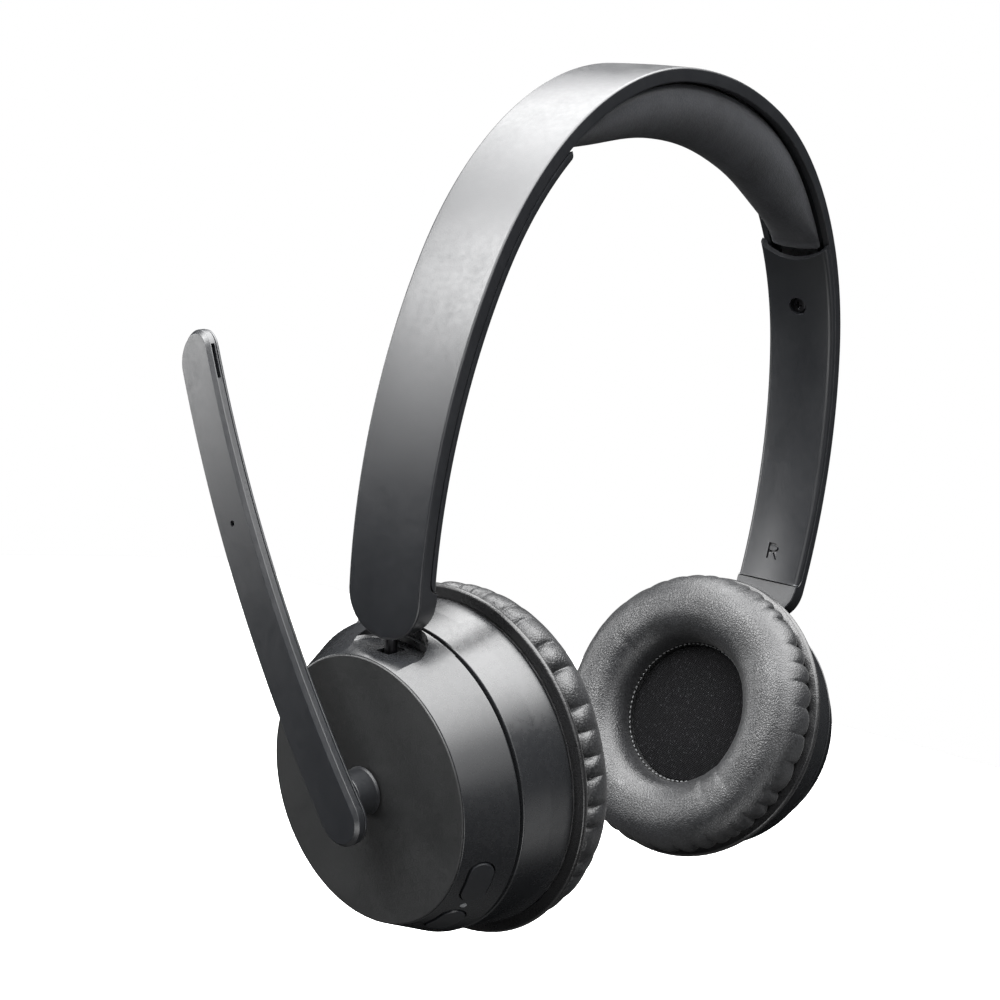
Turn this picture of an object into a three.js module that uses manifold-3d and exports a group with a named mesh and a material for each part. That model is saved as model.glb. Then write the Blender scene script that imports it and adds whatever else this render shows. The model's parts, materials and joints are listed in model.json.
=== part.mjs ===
// Wireless on-ear office headset with a swinging microphone boom.
// Millimetres. +X is the wearer's right, +Y is forward, +Z is up.
// The origin is the inner crown of the headband cushion, where the band rests on the head.
import * as THREE from 'three';
import { mergeVertices } from 'three/addons/utils/BufferGeometryUtils.js';
import Module from 'manifold-3d';

const wasm = await Module();
wasm.setup();

// ---------- driving dimensions ----------
const CROWN_HEIGHT = 16.6;              // outer top of the band above the origin
const CROWN_RADIUS = 118.5;             // the band's outer profile: three tangent arcs from the crown
const SHOULDER_RADIUS = 77;
const ARM_RADIUS = 124.5;
const CROWN_ANGLE = deg(10.5);          // tangent angle where the crown arc ends
const SHOULDER_ANGLE = deg(69.8);       // tangent angle where the shoulder arc ends
const ARM_END = 176;                  // arc length from the crown to the rounded arm end
const CROWN_HALF_WIDTH = 9.55;
const ARM_HALF_WIDTH = 8.5;
const WEB = 1.5;                      // outer web of the channel-shaped shell
const FLANGE_DEPTH = 3.2;             // depth of the shell's side flanges
const FLANGE = 1.7;                   // thickness of the flanges
const ARM_DEPTH = 5.7;                // shell and cover together
const COVER_TOP = 70;                 // arc length of the cover's scooped mouth
const COVER_END = 166;              // arc length of the cover's lower end
const SCREW_AT = 88.6;                  // arc length of the cover's screw
const CUSHION_END = 4.2;              // depth of the cushion where it slips under the cover
const CUSHION_FALL = 3.4;             // how late the cushion's depth falls away from the crown
const GAP = 0.3;                      // gap left between touching pieces

const SPRING = { half: 5, thickness: 0.6, end: 80 };
const SCREW = { head: 1.95, shank: 0.75, seat: 3.1, counterbore: 2.3, clearance: 1.2, boss: 2.4, bore: 1.05 };
const MOUTH = { radius: 16, reach: 2.4 };   // the scoop in the cover's mouth and how far it reaches in
const SLOT = { half: 5.3, start: 158 };     // the slider's slot through the arm end

const SLIDER = { top: 112, end: 166, half: 4.6, thickness: 1.2, blockHalf: 4.9, blockTop: 160 };
const NOTCH = { radius: 0.8, first: 8, last: 36, pitch: 5 };
const SLIDER_MID = 3;                 // middle of the slider, in from the band's outer face
const PIN_RADIUS = 1.25;
const PIN_ROOT = 3;                   // how far the pin reaches up into the slider's block
const PIN_CLEARANCE = 0.15;
const AXLE = { radius: 2.5, half: 4, pocket: 4.4 };
const SCOOP = { radius: 9.5, floor: 27 };   // the hollow in the cup's wall under the arm end

const CUP_SWIVEL = deg(8.4);          // how far both cups are turned on their necks at rest
const PIVOT_HEIGHT = 23.6;            // tilt axle above the cup's axis
const PIVOT_DEPTH = 6;                // tilt axle behind the disc face
const NECK_TOP = 173;                 // arc length where the straight neck pin leaves the slider
const NECK_LENGTH = 9.2;              // from there to the tilt axle

const DISC_RADIUS = 26.4;
const SIDE_RADIUS = 31.4;               // side wall where it meets the groove
const SIDE_DEPTH = 10.3;
const RING_FRONT = 11.1;                // depth of the flared ring's front rim
const RING_BACK = 22.7;               // depth of its back rim
const RING_RADIUS = 33.3;
const LIP_RADIUS = 36;                // leather lip where the pad clips over the ring
const PAD_RADIUS = 34.2;
const PAD_HOLE = 17.9;
const PAD_BACK = 24.8;
const PAD_FRONT = 34;
const PAD_FACE = [22.8, 28.6];        // inner and outer radius of the pad's flat front

const BOOM_LEAN = deg(37.8);          // forward lean of the boom from the cup's upward line
const BOOM_HALF_WIDTH = 5.5;
const BOOM_THICKNESS = 3.2;
const BOOM_OFFSET = 5.6;              // inner face of the boom above the disc
const BOOM_TIP = 96;                  // distance from the hub to the tip
const BOOM_HUB_END = -9;              // distance from the hub to the lower end
const BOOM_IN_BEND = 640;             // radius of the bend towards the head
const BOOM_BACK_BEND = 560;           // radius of the sideways bend
const HUB_RADIUS = 4.6;

const TURN_SEGMENTS = 32;

function deg(a) {
  return (a * Math.PI) / 180;
}

// ---------- closed meshes and cuts ----------
// Position-only, merged vertices, no collapsed triangles, faces pointing out.
function closed(geometry) {
  const bare = geometry.clone();
  for (const name of Object.keys(bare.attributes)) {
    if (name !== 'position') bare.deleteAttribute(name);
  }
  const merged = mergeVertices(bare, 1e-4);
  const index = Array.from(merged.index.array);
  const kept = [];
  for (let i = 0; i < index.length; i += 3) {
    const [a, b, c] = index.slice(i, i + 3);
    if (a !== b && b !== c && c !== a) kept.push(a, b, c);
  }
  if (signedVolume(merged.attributes.position, kept) < 0) {
    for (let i = 0; i < kept.length; i += 3) {
      [kept[i], kept[i + 1]] = [kept[i + 1], kept[i]];
    }
  }
  merged.setIndex(kept);
  return merged;
}

function signedVolume(position, index) {
  const corner = [new THREE.Vector3(), new THREE.Vector3(), new THREE.Vector3()];
  let total = 0;
  for (let i = 0; i < index.length; i += 3) {
    corner.forEach((v, k) => v.fromBufferAttribute(position, index[i + k]));
    total += corner[0].dot(corner[1].cross(corner[2])) / 6;
  }
  return total;
}

function toSolid(geometry) {
  const mesh = closed(geometry);
  return new wasm.Manifold(new wasm.Mesh({
    numProp: 3,
    vertProperties: new Float32Array(mesh.attributes.position.array),
    triVerts: new Uint32Array(mesh.index.array),
  }));
}

function fromSolid(solid) {
  const mesh = solid.getMesh();
  const geometry = new THREE.BufferGeometry();
  geometry.setAttribute('position', new THREE.BufferAttribute(new Float32Array(mesh.vertProperties), 3));
  geometry.setIndex(new THREE.BufferAttribute(new Uint32Array(mesh.triVerts), 1));
  return geometry;
}

function cut(base, ...tools) {
  return fromSolid(tools.reduce((solid, tool) => solid.subtract(toSolid(tool)), toSolid(base)));
}

function join(base, ...others) {
  return fromSolid(others.reduce((solid, other) => solid.add(toSolid(other)), toSolid(base)));
}

function common(base, other) {
  return fromSolid(toSolid(base).intersect(toSolid(other)));
}

// ---------- basic shapes ----------
function box(width, height, depth, x = 0, y = 0, z = 0) {
  return new THREE.BoxGeometry(width, height, depth).translate(x, y, z);
}

// A cylinder along Z from z0 to z1.
function rod(radius, z0, z1, x = 0, y = 0, sides = 20) {
  return new THREE.CylinderGeometry(radius, radius, z1 - z0, sides)
    .rotateX(Math.PI / 2)
    .translate(x, y, (z0 + z1) / 2);
}

// A shape with round ends, length along X, centred on the origin.
function stadium(length, width) {
  const r = width / 2;
  const straight = length / 2 - r;
  const shape = new THREE.Shape();
  shape.absarc(straight, 0, r, -Math.PI / 2, Math.PI / 2, false);
  shape.absarc(-straight, 0, r, Math.PI / 2, (3 * Math.PI) / 2, false);
  shape.closePath();
  return shape;
}

function slab(shape, z0, z1, curveSegments = 6) {
  const settings = { depth: z1 - z0, bevelEnabled: false, curveSegments };
  return new THREE.ExtrudeGeometry(shape, settings).translate(0, 0, z0);
}

// Turns [radius, depth] points about the cup's axis; depth runs inwards from the disc face.
function turned(points, segments = TURN_SEGMENTS) {
  const profile = points.map(([r, depth]) => new THREE.Vector2(r, -depth));
  return new THREE.LatheGeometry(profile, segments).rotateX(Math.PI / 2);
}

// Sweeps a section, drawn as (across, down), through the stations; place() puts each point.
function swept(section, stations, place) {
  const steps = stations.length - 1;
  const settings = { depth: steps, steps, bevelEnabled: false, curveSegments: 3 };
  const geometry = new THREE.ExtrudeGeometry(section, settings);
  const position = geometry.attributes.position;
  for (let i = 0; i < position.count; i++) {
    const s = stations[Math.round(position.getZ(i))];
    const p = place(s, position.getX(i), position.getY(i));
    position.setXYZ(i, p.x, p.y, p.z);
  }
  return geometry;
}

function spread(from, to, count) {
  return Array.from({ length: count + 1 }, (_, i) => from + ((to - from) * i) / count);
}

// ---------- the band's path ----------
const CROWN_ARC = CROWN_RADIUS * CROWN_ANGLE;
const SHOULDER_ARC = SHOULDER_RADIUS * (SHOULDER_ANGLE - CROWN_ANGLE);

// The outer profile at arc length s from the crown: x, z and the tangent angle.
function profileAt(s) {
  const crown = Math.min(s, CROWN_ARC) / CROWN_RADIUS;
  const shoulder = THREE.MathUtils.clamp(s - CROWN_ARC, 0, SHOULDER_ARC) / SHOULDER_RADIUS;
  const arm = Math.max(s - CROWN_ARC - SHOULDER_ARC, 0) / ARM_RADIUS;
  const arcs = [
    [CROWN_RADIUS, 0, crown],
    [SHOULDER_RADIUS, CROWN_ANGLE, CROWN_ANGLE + shoulder],
    [ARM_RADIUS, SHOULDER_ANGLE, SHOULDER_ANGLE + arm],
  ];
  let x = 0;
  let z = CROWN_HEIGHT;
  for (const [radius, from, to] of arcs) {
    x += radius * (Math.sin(to) - Math.sin(from));
    z += radius * (Math.cos(to) - Math.cos(from));
  }
  return { x, z, angle: crown + shoulder + arm };
}

// A point of the band: arc length s (negative on the left), w forward, h in from the outer face.
function bandPoint(s, w, h) {
  const side = s < 0 ? -1 : 1;
  const { x, z, angle } = profileAt(Math.abs(s));
  return new THREE.Vector3(
    side * (x - h * Math.sin(angle)),
    w,
    z - h * Math.cos(angle),
  );
}

function halfWidth(s) {
  return THREE.MathUtils.lerp(CROWN_HALF_WIDTH, ARM_HALF_WIDTH, Math.abs(s) / ARM_END);
}

// As bandPoint, with w as a share of the half width and the arm's end rounded off.
function roundedBand(s, share, h) {
  const r = ARM_HALF_WIDTH;
  const beyond = Math.max(Math.abs(s) - (ARM_END - r), 0) / r;
  return bandPoint(s, share * halfWidth(s) * Math.sqrt(1 - beyond * beyond), h);
}

function roundEnd(count) {
  const start = ARM_END - ARM_HALF_WIDTH;
  return spread(0, deg(80), count).map((a) => start + ARM_HALF_WIDTH * Math.sin(a));
}

// A frame on the arm: local Z along the inward normal, local Y up the arm.
function armFrame(s, h = 0) {
  const side = s < 0 ? -1 : 1;
  const { angle } = profileAt(Math.abs(s));
  const inward = new THREE.Vector3(-side * Math.sin(angle), 0, -Math.cos(angle));
  const up = new THREE.Vector3(-side * Math.cos(angle), 0, Math.sin(angle));
  const across = new THREE.Vector3().crossVectors(up, inward);
  return new THREE.Matrix4().makeBasis(across, up, inward).setPosition(bandPoint(s, 0, h));
}

// ---------- materials ----------
function plastic(color, roughness) {
  return new THREE.MeshStandardMaterial({ color, roughness, metalness: 0 });
}
function metal(color, roughness) {
  return new THREE.MeshStandardMaterial({ color, roughness, metalness: 1 });
}
const SATIN_BLACK = plastic(0x232426, 0.42);
const MATTE_BLACK = plastic(0x1d1e20, 0.6);
const GLOSS_BLACK = plastic(0x151618, 0.18);
const LEATHER = plastic(0x1b1b1c, 0.55);
const CLOTH = plastic(0x101011, 0.95);
const STEEL = metal(0x9a9c9f, 0.35);
const DARK_STEEL = metal(0x2a2b2d, 0.4);
const BOARD = plastic(0x0f4a2c, 0.5);
const CELL = plastic(0xb9bdc2, 0.4);
const LIGHT = plastic(0xd8dde2, 0.2);

const headset = new THREE.Group();

function place(name, geometry, material, parent = headset) {
  const mesh = new THREE.Mesh(closed(geometry), material);
  mesh.name = name;
  parent.add(mesh);
  return mesh;
}

// ---------- headband ----------
// A bar section from h0 to h1 in shares of the half width, its corners rounded.
function barSection(halfShare, h0, h1, round = 0.12, depthRound = 1) {
  const shape = new THREE.Shape();
  shape.moveTo(-halfShare + round, h0);
  shape.lineTo(halfShare - round, h0);
  shape.quadraticCurveTo(halfShare, h0, halfShare, h0 + depthRound);
  shape.lineTo(halfShare, h1);
  shape.lineTo(-halfShare, h1);
  shape.lineTo(-halfShare, h0 + depthRound);
  shape.quadraticCurveTo(-halfShare, h0, -halfShare + round, h0);
  return shape;
}

function plainSection(half, h0, h1) {
  const shape = new THREE.Shape();
  shape.moveTo(-half, h0);
  shape.lineTo(half, h0);
  shape.lineTo(half, h1);
  shape.lineTo(-half, h1);
  shape.closePath();
  return shape;
}

function headbandShell() {
  const half = [...spread(0, ARM_END - ARM_HALF_WIDTH, 20).slice(1, -1), ...roundEnd(4)];
  const stations = [...half.map((s) => -s).reverse(), 0, ...half];
  let shell = swept(barSection(1, 0, FLANGE_DEPTH), stations, roundedBand);
  const blockStart = COVER_END + GAP;
  for (const side of [-1, 1]) {
    const block = [blockStart, ...roundEnd(4)].map((s) => side * s);
    const stationsUp = side < 0 ? block.reverse() : block;
    shell = join(shell, swept(barSection(1, 0, ARM_DEPTH), stationsUp, roundedBand));
  }
  const channelEnd = COVER_END - 1.5;
  const channel = swept(
    plainSection(1, WEB, FLANGE_DEPTH + 1),
    spread(-channelEnd, channelEnd, 40),
    (s, share, h) => bandPoint(s, share * (halfWidth(s) - FLANGE), h),
  );
  const tools = [channel];
  for (const side of [-1, 1]) {
    const slotEnds = side < 0 ? [-(ARM_END + 4), -SLOT.start] : [SLOT.start, ARM_END + 4];
    tools.push(swept(plainSection(SLOT.half, WEB, ARM_DEPTH - 1), spread(...slotEnds, 6), bandPoint));
  }
  shell = cut(shell, ...tools);
  for (const side of [-1, 1]) {
    const boss = cut(rod(SCREW.boss, WEB - 0.6, 3.5, 0, 0, 16), rod(SCREW.bore, WEB, 4, 0, 0, 10));
    shell = join(shell, boss.applyMatrix4(armFrame(side * SCREW_AT)));
  }
  place('headband_shell', shell, SATIN_BLACK);
}

function headbandSpring() {
  const section = plainSection(SPRING.half, WEB + GAP, WEB + GAP + SPRING.thickness);
  const strip = swept(section, spread(-SPRING.end, SPRING.end, 24), bandPoint);
  place('headband_spring', strip, STEEL);
}

// How far the cushion's middle stands in from the outer face of the band.
function cushionDepth(s) {
  const share = Math.min(Math.abs(s) / COVER_TOP, 1);
  return CUSHION_END + (CROWN_HEIGHT - CUSHION_END) * (1 - share ** CUSHION_FALL);
}

function headbandCushion() {
  const base = WEB + GAP + SPRING.thickness + GAP;
  const section = new THREE.Shape();
  section.moveTo(-0.77, 0);
  section.lineTo(0.77, 0);
  section.quadraticCurveTo(0.88, 0.5, 0.62, 0.84);
  section.quadraticCurveTo(0.36, 1, 0, 1);
  section.quadraticCurveTo(-0.36, 1, -0.62, 0.84);
  section.quadraticCurveTo(-0.88, 0.5, -0.77, 0);
  const end = COVER_TOP + 2;
  const cushion = swept(
    section,
    spread(-end, end, 18),
    (s, share, rise) => {
      const narrowing = 1 - 0.16 * (s / end) ** 4;
      return bandPoint(s, share * halfWidth(s) * narrowing, base + rise * (cushionDepth(s) - base));
    },
  );
  place('headband_cushion', cushion, LEATHER);
}

// The half-tube cover on the inside of one arm, with a scooped mouth and a screw seat.
function armCover(side) {
  const edge = FLANGE_DEPTH + GAP;
  const shape = new THREE.Shape();
  shape.moveTo(-1, edge);
  shape.lineTo(1, edge);
  shape.lineTo(1, ARM_DEPTH - 1.2);
  shape.quadraticCurveTo(0.98, ARM_DEPTH - 0.3, 0.8, ARM_DEPTH);
  shape.quadraticCurveTo(0, ARM_DEPTH + 0.9, -0.8, ARM_DEPTH);
  shape.quadraticCurveTo(-0.98, ARM_DEPTH - 0.3, -1, ARM_DEPTH - 1.2);
  shape.closePath();
  const along = (from, to, count) => {
    const stations = spread(from, to, count).map((s) => side * s);
    return side < 0 ? stations.reverse() : stations;
  };
  const scaled = (s, share, h) => bandPoint(s, share * halfWidth(s), h);
  let cover = swept(shape, along(COVER_TOP, COVER_END, 15), scaled);
  cover = cut(cover, swept(plainSection(6.4, 2, 4.7), along(COVER_TOP - 5, COVER_END + 5, 17), bandPoint));
  const seat = rod(SCREW.seat, 3.8, ARM_DEPTH).applyMatrix4(armFrame(side * SCREW_AT));
  cover = join(cover, seat);
  const mouthAt = COVER_TOP + MOUTH.reach - MOUTH.radius;
  const mouth = rod(MOUTH.radius, 0, 14, 0, 0, 36).applyMatrix4(armFrame(side * mouthAt));
  const counterbore = rod(SCREW.counterbore, 4.6, 12).applyMatrix4(armFrame(side * SCREW_AT));
  const clearance = rod(SCREW.clearance, 2, 12, 0, 0, 12).applyMatrix4(armFrame(side * SCREW_AT));
  cover = cut(cover, mouth, counterbore, clearance);
  place(side < 0 ? 'arm_cover_left' : 'arm_cover_right', cover, SATIN_BLACK);
}

function coverScrew(side) {
  const head = rod(SCREW.head, 4.9, 5.9);
  const shank = rod(SCREW.shank, 1.9, 5, 0, 0, 10);
  const arm = box(2.6, 0.5, 1, 0, 0, 5.9);
  const cross = box(0.5, 2.6, 1, 0, 0, 5.9);
  const screw = cut(join(head, shank), arm, cross).applyMatrix4(armFrame(side * SCREW_AT));
  place(side < 0 ? 'cover_screw_left' : 'cover_screw_right', screw, DARK_STEEL);
}

// ---------- sliders, necks and cups ----------
// Where one cup sits: local Z is the outward axis, local Y runs up the arm's end.
function cupFrame(side) {
  const { angle } = profileAt(NECK_TOP);
  const out = new THREE.Vector3(side * Math.sin(angle), 0, Math.cos(angle));
  const up = new THREE.Vector3(-side * Math.cos(angle), 0, Math.sin(angle));
  out.applyAxisAngle(up, -CUP_SWIVEL);
  const across = new THREE.Vector3().crossVectors(up, out);
  const pivot = bandPoint(side * NECK_TOP, 0, SLIDER_MID).addScaledVector(up, -NECK_LENGTH);
  const centre = pivot.clone().addScaledVector(up, -PIVOT_HEIGHT).addScaledVector(out, PIVOT_DEPTH);
  return { out, up, across, pivot, centre };
}

function slider(side) {
  const along = (from, to, count) => {
    const stations = spread(from, to, count).map((s) => side * s);
    return side < 0 ? stations.reverse() : stations;
  };
  const leaf = SLIDER.thickness / 2;
  const section = plainSection(SLIDER.half, SLIDER_MID - leaf, SLIDER_MID + leaf);
  let body = swept(section, along(SLIDER.top, SLIDER.end, 10), bandPoint);
  const notches = [];
  for (let s = SLIDER.top + NOTCH.first; s < SLIDER.top + NOTCH.last; s += NOTCH.pitch) {
    for (const edge of [-SLIDER.half, SLIDER.half]) {
      notches.push(rod(NOTCH.radius, -1.5, 1.5, edge, 0, 6).applyMatrix4(armFrame(side * s, SLIDER_MID)));
    }
  }
  body = cut(body, ...notches);
  const blockSection = plainSection(SLIDER.blockHalf, WEB + GAP, ARM_DEPTH - 1 - GAP);
  const block = swept(blockSection, along(SLIDER.blockTop, NECK_TOP, 3), bandPoint);
  const { up } = cupFrame(side);
  const pinLength = PIN_ROOT + NECK_LENGTH + AXLE.radius;
  const pin = new THREE.CylinderGeometry(PIN_RADIUS, PIN_RADIUS, pinLength, 16);
  const foot = bandPoint(side * NECK_TOP, 0, SLIDER_MID);
  const lean = new THREE.Quaternion().setFromUnitVectors(new THREE.Vector3(0, 1, 0), up);
  const middle = foot.addScaledVector(up, PIN_ROOT - pinLength / 2);
  pin.applyQuaternion(lean).translate(middle.x, middle.y, middle.z);
  body = join(body, block, pin);
  place(side < 0 ? 'slider_left' : 'slider_right', body, DARK_STEEL);
}

function swivelAxle(side, cup) {
  const axle = rod(AXLE.radius, -AXLE.half, AXLE.half).rotateY(Math.PI / 2);
  axle.translate(0, PIVOT_HEIGHT, -PIVOT_DEPTH);
  const bore = rod(PIN_RADIUS + PIN_CLEARANCE, -4, 4, 0, 0, 16).rotateX(Math.PI / 2);
  bore.translate(0, PIVOT_HEIGHT, -PIVOT_DEPTH);
  place(side < 0 ? 'swivel_axle_left' : 'swivel_axle_right', cut(axle, bore), STEEL, cup);
}

// The side wall's radius at a depth behind the disc face.
function wallRadius(depth) {
  return DISC_RADIUS + ((SIDE_RADIUS - DISC_RADIUS) * depth) / SIDE_DEPTH;
}

const WALL_SLOPE = Math.atan2(SIDE_RADIUS - DISC_RADIUS, SIDE_DEPTH);

// A frame on the side wall: local Z along the wall's normal, local X around the cup.
function wallFrame(angle, depth) {
  const radial = new THREE.Vector3(Math.cos(angle), Math.sin(angle), 0);
  const around = new THREE.Vector3(-Math.sin(angle), Math.cos(angle), 0);
  const axis = new THREE.Vector3(0, 0, 1);
  const normal = radial.clone().multiplyScalar(Math.cos(WALL_SLOPE));
  normal.addScaledVector(axis, Math.sin(WALL_SLOPE));
  const along = new THREE.Vector3().crossVectors(normal, around);
  const origin = radial.clone().multiplyScalar(wallRadius(depth)).setZ(-depth);
  return new THREE.Matrix4().makeBasis(around, along, normal).setPosition(origin);
}

const MULTI_BUTTON = { angle: deg(-23), depth: 4.6, length: 9.6, width: 4.8 };
const VOLUME_BUTTON = { angle: deg(-50), depth: 4.6, length: 9.6, width: 4.8 };
const LED = { angle: deg(-36.5), depth: 4.6, radius: 0.7 };
const PORT = { angle: deg(-90), depth: 5.4, length: 9, width: 3.3 };

function housing(side, cup) {
  const outer = [[0, 0], [DISC_RADIUS - 0.5, 0], [DISC_RADIUS, 0.5], [SIDE_RADIUS, SIDE_DEPTH]];
  const inner = [[29.4, SIDE_DEPTH], [29.4, 8.6], [24.8, 1.6], [0, 1.6]];
  let body = turned([...outer, ...inner]);
  const bearing = common(
    turned([...outer, [0, SIDE_DEPTH]]),
    join(box(19, 7.6, 6, 0, 23.2, -5.3), box(10.8, 7.6, 8, 0, 23.2, -6.3)),
  );
  body = join(body, bearing);
  const scoop = rod(SCOOP.radius, SCOOP.floor, 45, 0, 0, 32).rotateX(-Math.PI / 2);
  scoop.translate(0, 0, -PIVOT_DEPTH);
  const pocket = rod(AXLE.radius + GAP, -AXLE.pocket, AXLE.pocket).rotateY(Math.PI / 2);
  pocket.translate(0, PIVOT_HEIGHT, -PIVOT_DEPTH);
  const neckSlot = box(3.4, 9, 4.6, 0, PIVOT_HEIGHT + 3, -PIVOT_DEPTH);
  const under = box(3.4, 8, 4.2, 0, PIVOT_HEIGHT - 3, -PIVOT_DEPTH);
  body = cut(body, scoop, pocket, neckSlot, under);
  if (side < 0) {
    const holes = [MULTI_BUTTON, VOLUME_BUTTON].map((b) =>
      slab(stadium(b.length + 0.7, b.width + 0.7), -6, 6).applyMatrix4(wallFrame(b.angle, b.depth)));
    holes.push(rod(LED.radius + GAP, -6, 6, 0, 0, 12).applyMatrix4(wallFrame(LED.angle, LED.depth)));
    holes.push(slab(stadium(PORT.length + 0.7, PORT.width + 0.7), -8, 8)
      .applyMatrix4(wallFrame(PORT.angle, PORT.depth)));
    holes.push(rod(3.3, -5, 5));
    body = cut(body, ...holes);
  }
  place(side < 0 ? 'housing_left' : 'housing_right', body, MATTE_BLACK, cup);
}

function flaredRing(side, cup) {
  const ring = turned([
    [SIDE_RADIUS - 0.3, RING_FRONT], [SIDE_RADIUS, RING_FRONT + 0.3],
    [32.3, 17.5], [RING_RADIUS, RING_BACK - 0.4], [RING_RADIUS - 0.4, RING_BACK],
    [31.4, RING_BACK], [29.6, 12.2], [27.9, 12.2], [27.9, 9.3], [29.1, 9.3], [29.1, RING_FRONT],
    [SIDE_RADIUS - 0.3, RING_FRONT],
  ]);
  place(side < 0 ? 'ring_left' : 'ring_right', ring, GLOSS_BLACK, cup);
}

function baffle(side, cup) {
  let plate = turned([
    [15.2, 21.2], [30.8, 21.2], [30.8, 22.7], [15.2, 22.7], [15.2, 21.2],
  ]);
  const vents = [];
  for (let i = 0; i < 4; i++) {
    const a = (i * Math.PI) / 2;
    vents.push(rod(1.6, -30, -15, 25 * Math.cos(a), 25 * Math.sin(a), 8));
  }
  plate = cut(plate, ...vents);
  place(side < 0 ? 'baffle_left' : 'baffle_right', plate, MATTE_BLACK, cup);
}

function driver(side, cup) {
  const unit = turned([
    [0, 12.6], [10.5, 12.6], [11, 13.1], [11, 17.6], [18.2, 18.4], [19.4, 19], [19.4, 20.9],
    [14.8, 20.9], [12, 21.9], [7, 21.1], [0, 21.9],
  ], 32);
  place(side < 0 ? 'driver_left' : 'driver_right', unit, DARK_STEEL, cup);
}

function padRing(side, cup) {
  const ring = turned([
    [17.4, 23.1], [33, 23.1], [33.2, 23.4], [33.2, 24.3], [17.4, 24.3], [17.4, 23.1],
  ]);
  place(side < 0 ? 'pad_ring_left' : 'pad_ring_right', ring, MATTE_BLACK, cup);
}

function earPad(side, cup) {
  const pad = turned([
    [33.6, 23.1], [LIP_RADIUS - 0.5, 23], [LIP_RADIUS, 23.6], [LIP_RADIUS - 0.3, 24.3], [34, 25.2],
    [PAD_RADIUS, 27.2], [33.4, 30], [31.4, 32.6], [PAD_FACE[1], PAD_FRONT], [PAD_FACE[0], PAD_FRONT],
    [20, 32.6], [18.4, 30], [PAD_HOLE, 27.2], [18.2, PAD_BACK], [33.6, PAD_BACK], [33.6, 23.1],
  ]);
  place(side < 0 ? 'ear_pad_left' : 'ear_pad_right', pad, LEATHER, cup);
}

function acousticCloth(side, cup) {
  const cloth = turned([
    [0, 24.9], [PAD_HOLE - 0.7, 24.9], [PAD_HOLE - 0.5, 25.7], [9, 26.3], [0, 26.5],
  ], 32);
  place(side < 0 ? 'acoustic_cloth_left' : 'acoustic_cloth_right', cloth, CLOTH, cup);
}

function circuitBoard(cup) {
  const board = cut(rod(18, -9, -7.6, 0, -2, 40), rod(4.6, -10, -7, 0, 0, 24));
  const chip = box(6, 6, 1.2, -9, -2, -9.5);
  const shield = box(9, 7, 1.6, 3, -12, -9.7);
  place('circuit_board', join(board, chip, shield), BOARD, cup);
}

function battery(cup) {
  const cell = new THREE.BoxGeometry(24, 17, 5.2).translate(0, -3, -6.4);
  place('battery', cell, CELL, cup);
}

function pushButton(name, at, cup) {
  const frame = wallFrame(at.angle, at.depth);
  const cap = slab(stadium(at.length, at.width), -3.2, 4).applyMatrix4(frame);
  const flange = slab(stadium(at.length + 1.6, at.width + 1.6), -3.8, -2.6).applyMatrix4(frame);
  const proud = 0.3;
  const skin = turned([
    [0, -0.6], [DISC_RADIUS + proud, -0.6], [DISC_RADIUS + proud, 0],
    [SIDE_RADIUS + proud, SIDE_DEPTH], [SIDE_RADIUS + proud, 14], [0, 14],
  ], 48);
  place(name, join(common(cap, skin), flange), MATTE_BLACK, cup);
}

function lightPipe(cup) {
  const frame = wallFrame(LED.angle, LED.depth);
  const pipe = rod(LED.radius, -1.6, 0, 0, 0, 10).applyMatrix4(frame);
  place('led_light_pipe', pipe, LIGHT, cup);
}

function chargePort(cup) {
  const frame = wallFrame(PORT.angle, PORT.depth);
  const can = cut(
    slab(stadium(PORT.length, PORT.width), -7, -0.6),
    slab(stadium(PORT.length - 0.7, PORT.width - 0.7), -6.2, 1),
  );
  const tongue = box(6.6, 0.7, 5.2, 0, 0, -3.9);
  place('charge_port', join(can, tongue).applyMatrix4(frame), STEEL, cup);
}

// ---------- microphone boom ----------
// A point of the boom: s from the hub, w towards the front edge, z above the disc.
function boomPoint(s, w, z) {
  const side = w - (s * s) / (2 * BOOM_BACK_BEND);
  const height = z - (s * s) / (2 * BOOM_IN_BEND);
  return new THREE.Vector3(
    -(Math.sin(BOOM_LEAN) * s + Math.cos(BOOM_LEAN) * side),
    Math.cos(BOOM_LEAN) * s - Math.sin(BOOM_LEAN) * side,
    height,
  );
}

function boomStations() {
  const r = BOOM_HALF_WIDTH;
  const low = BOOM_HUB_END + r;
  const high = BOOM_TIP - r;
  const lowEnd = spread(deg(-80), deg(-20), 3).map((a) => low + r * Math.sin(a));
  const highEnd = spread(deg(20), deg(80), 3).map((a) => high + r * Math.sin(a));
  return [...lowEnd, ...spread(low, high, 11), ...highEnd];
}

function roundedBoom(s, share, z) {
  const r = BOOM_HALF_WIDTH;
  const below = Math.max(BOOM_HUB_END + r - s, 0) / r;
  const above = Math.max(s - BOOM_TIP + r, 0) / r;
  return boomPoint(s, share * r * Math.sqrt(1 - below * below - above * above), z);
}

const BOOM_SPLIT = BOOM_OFFSET + 1;

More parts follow.
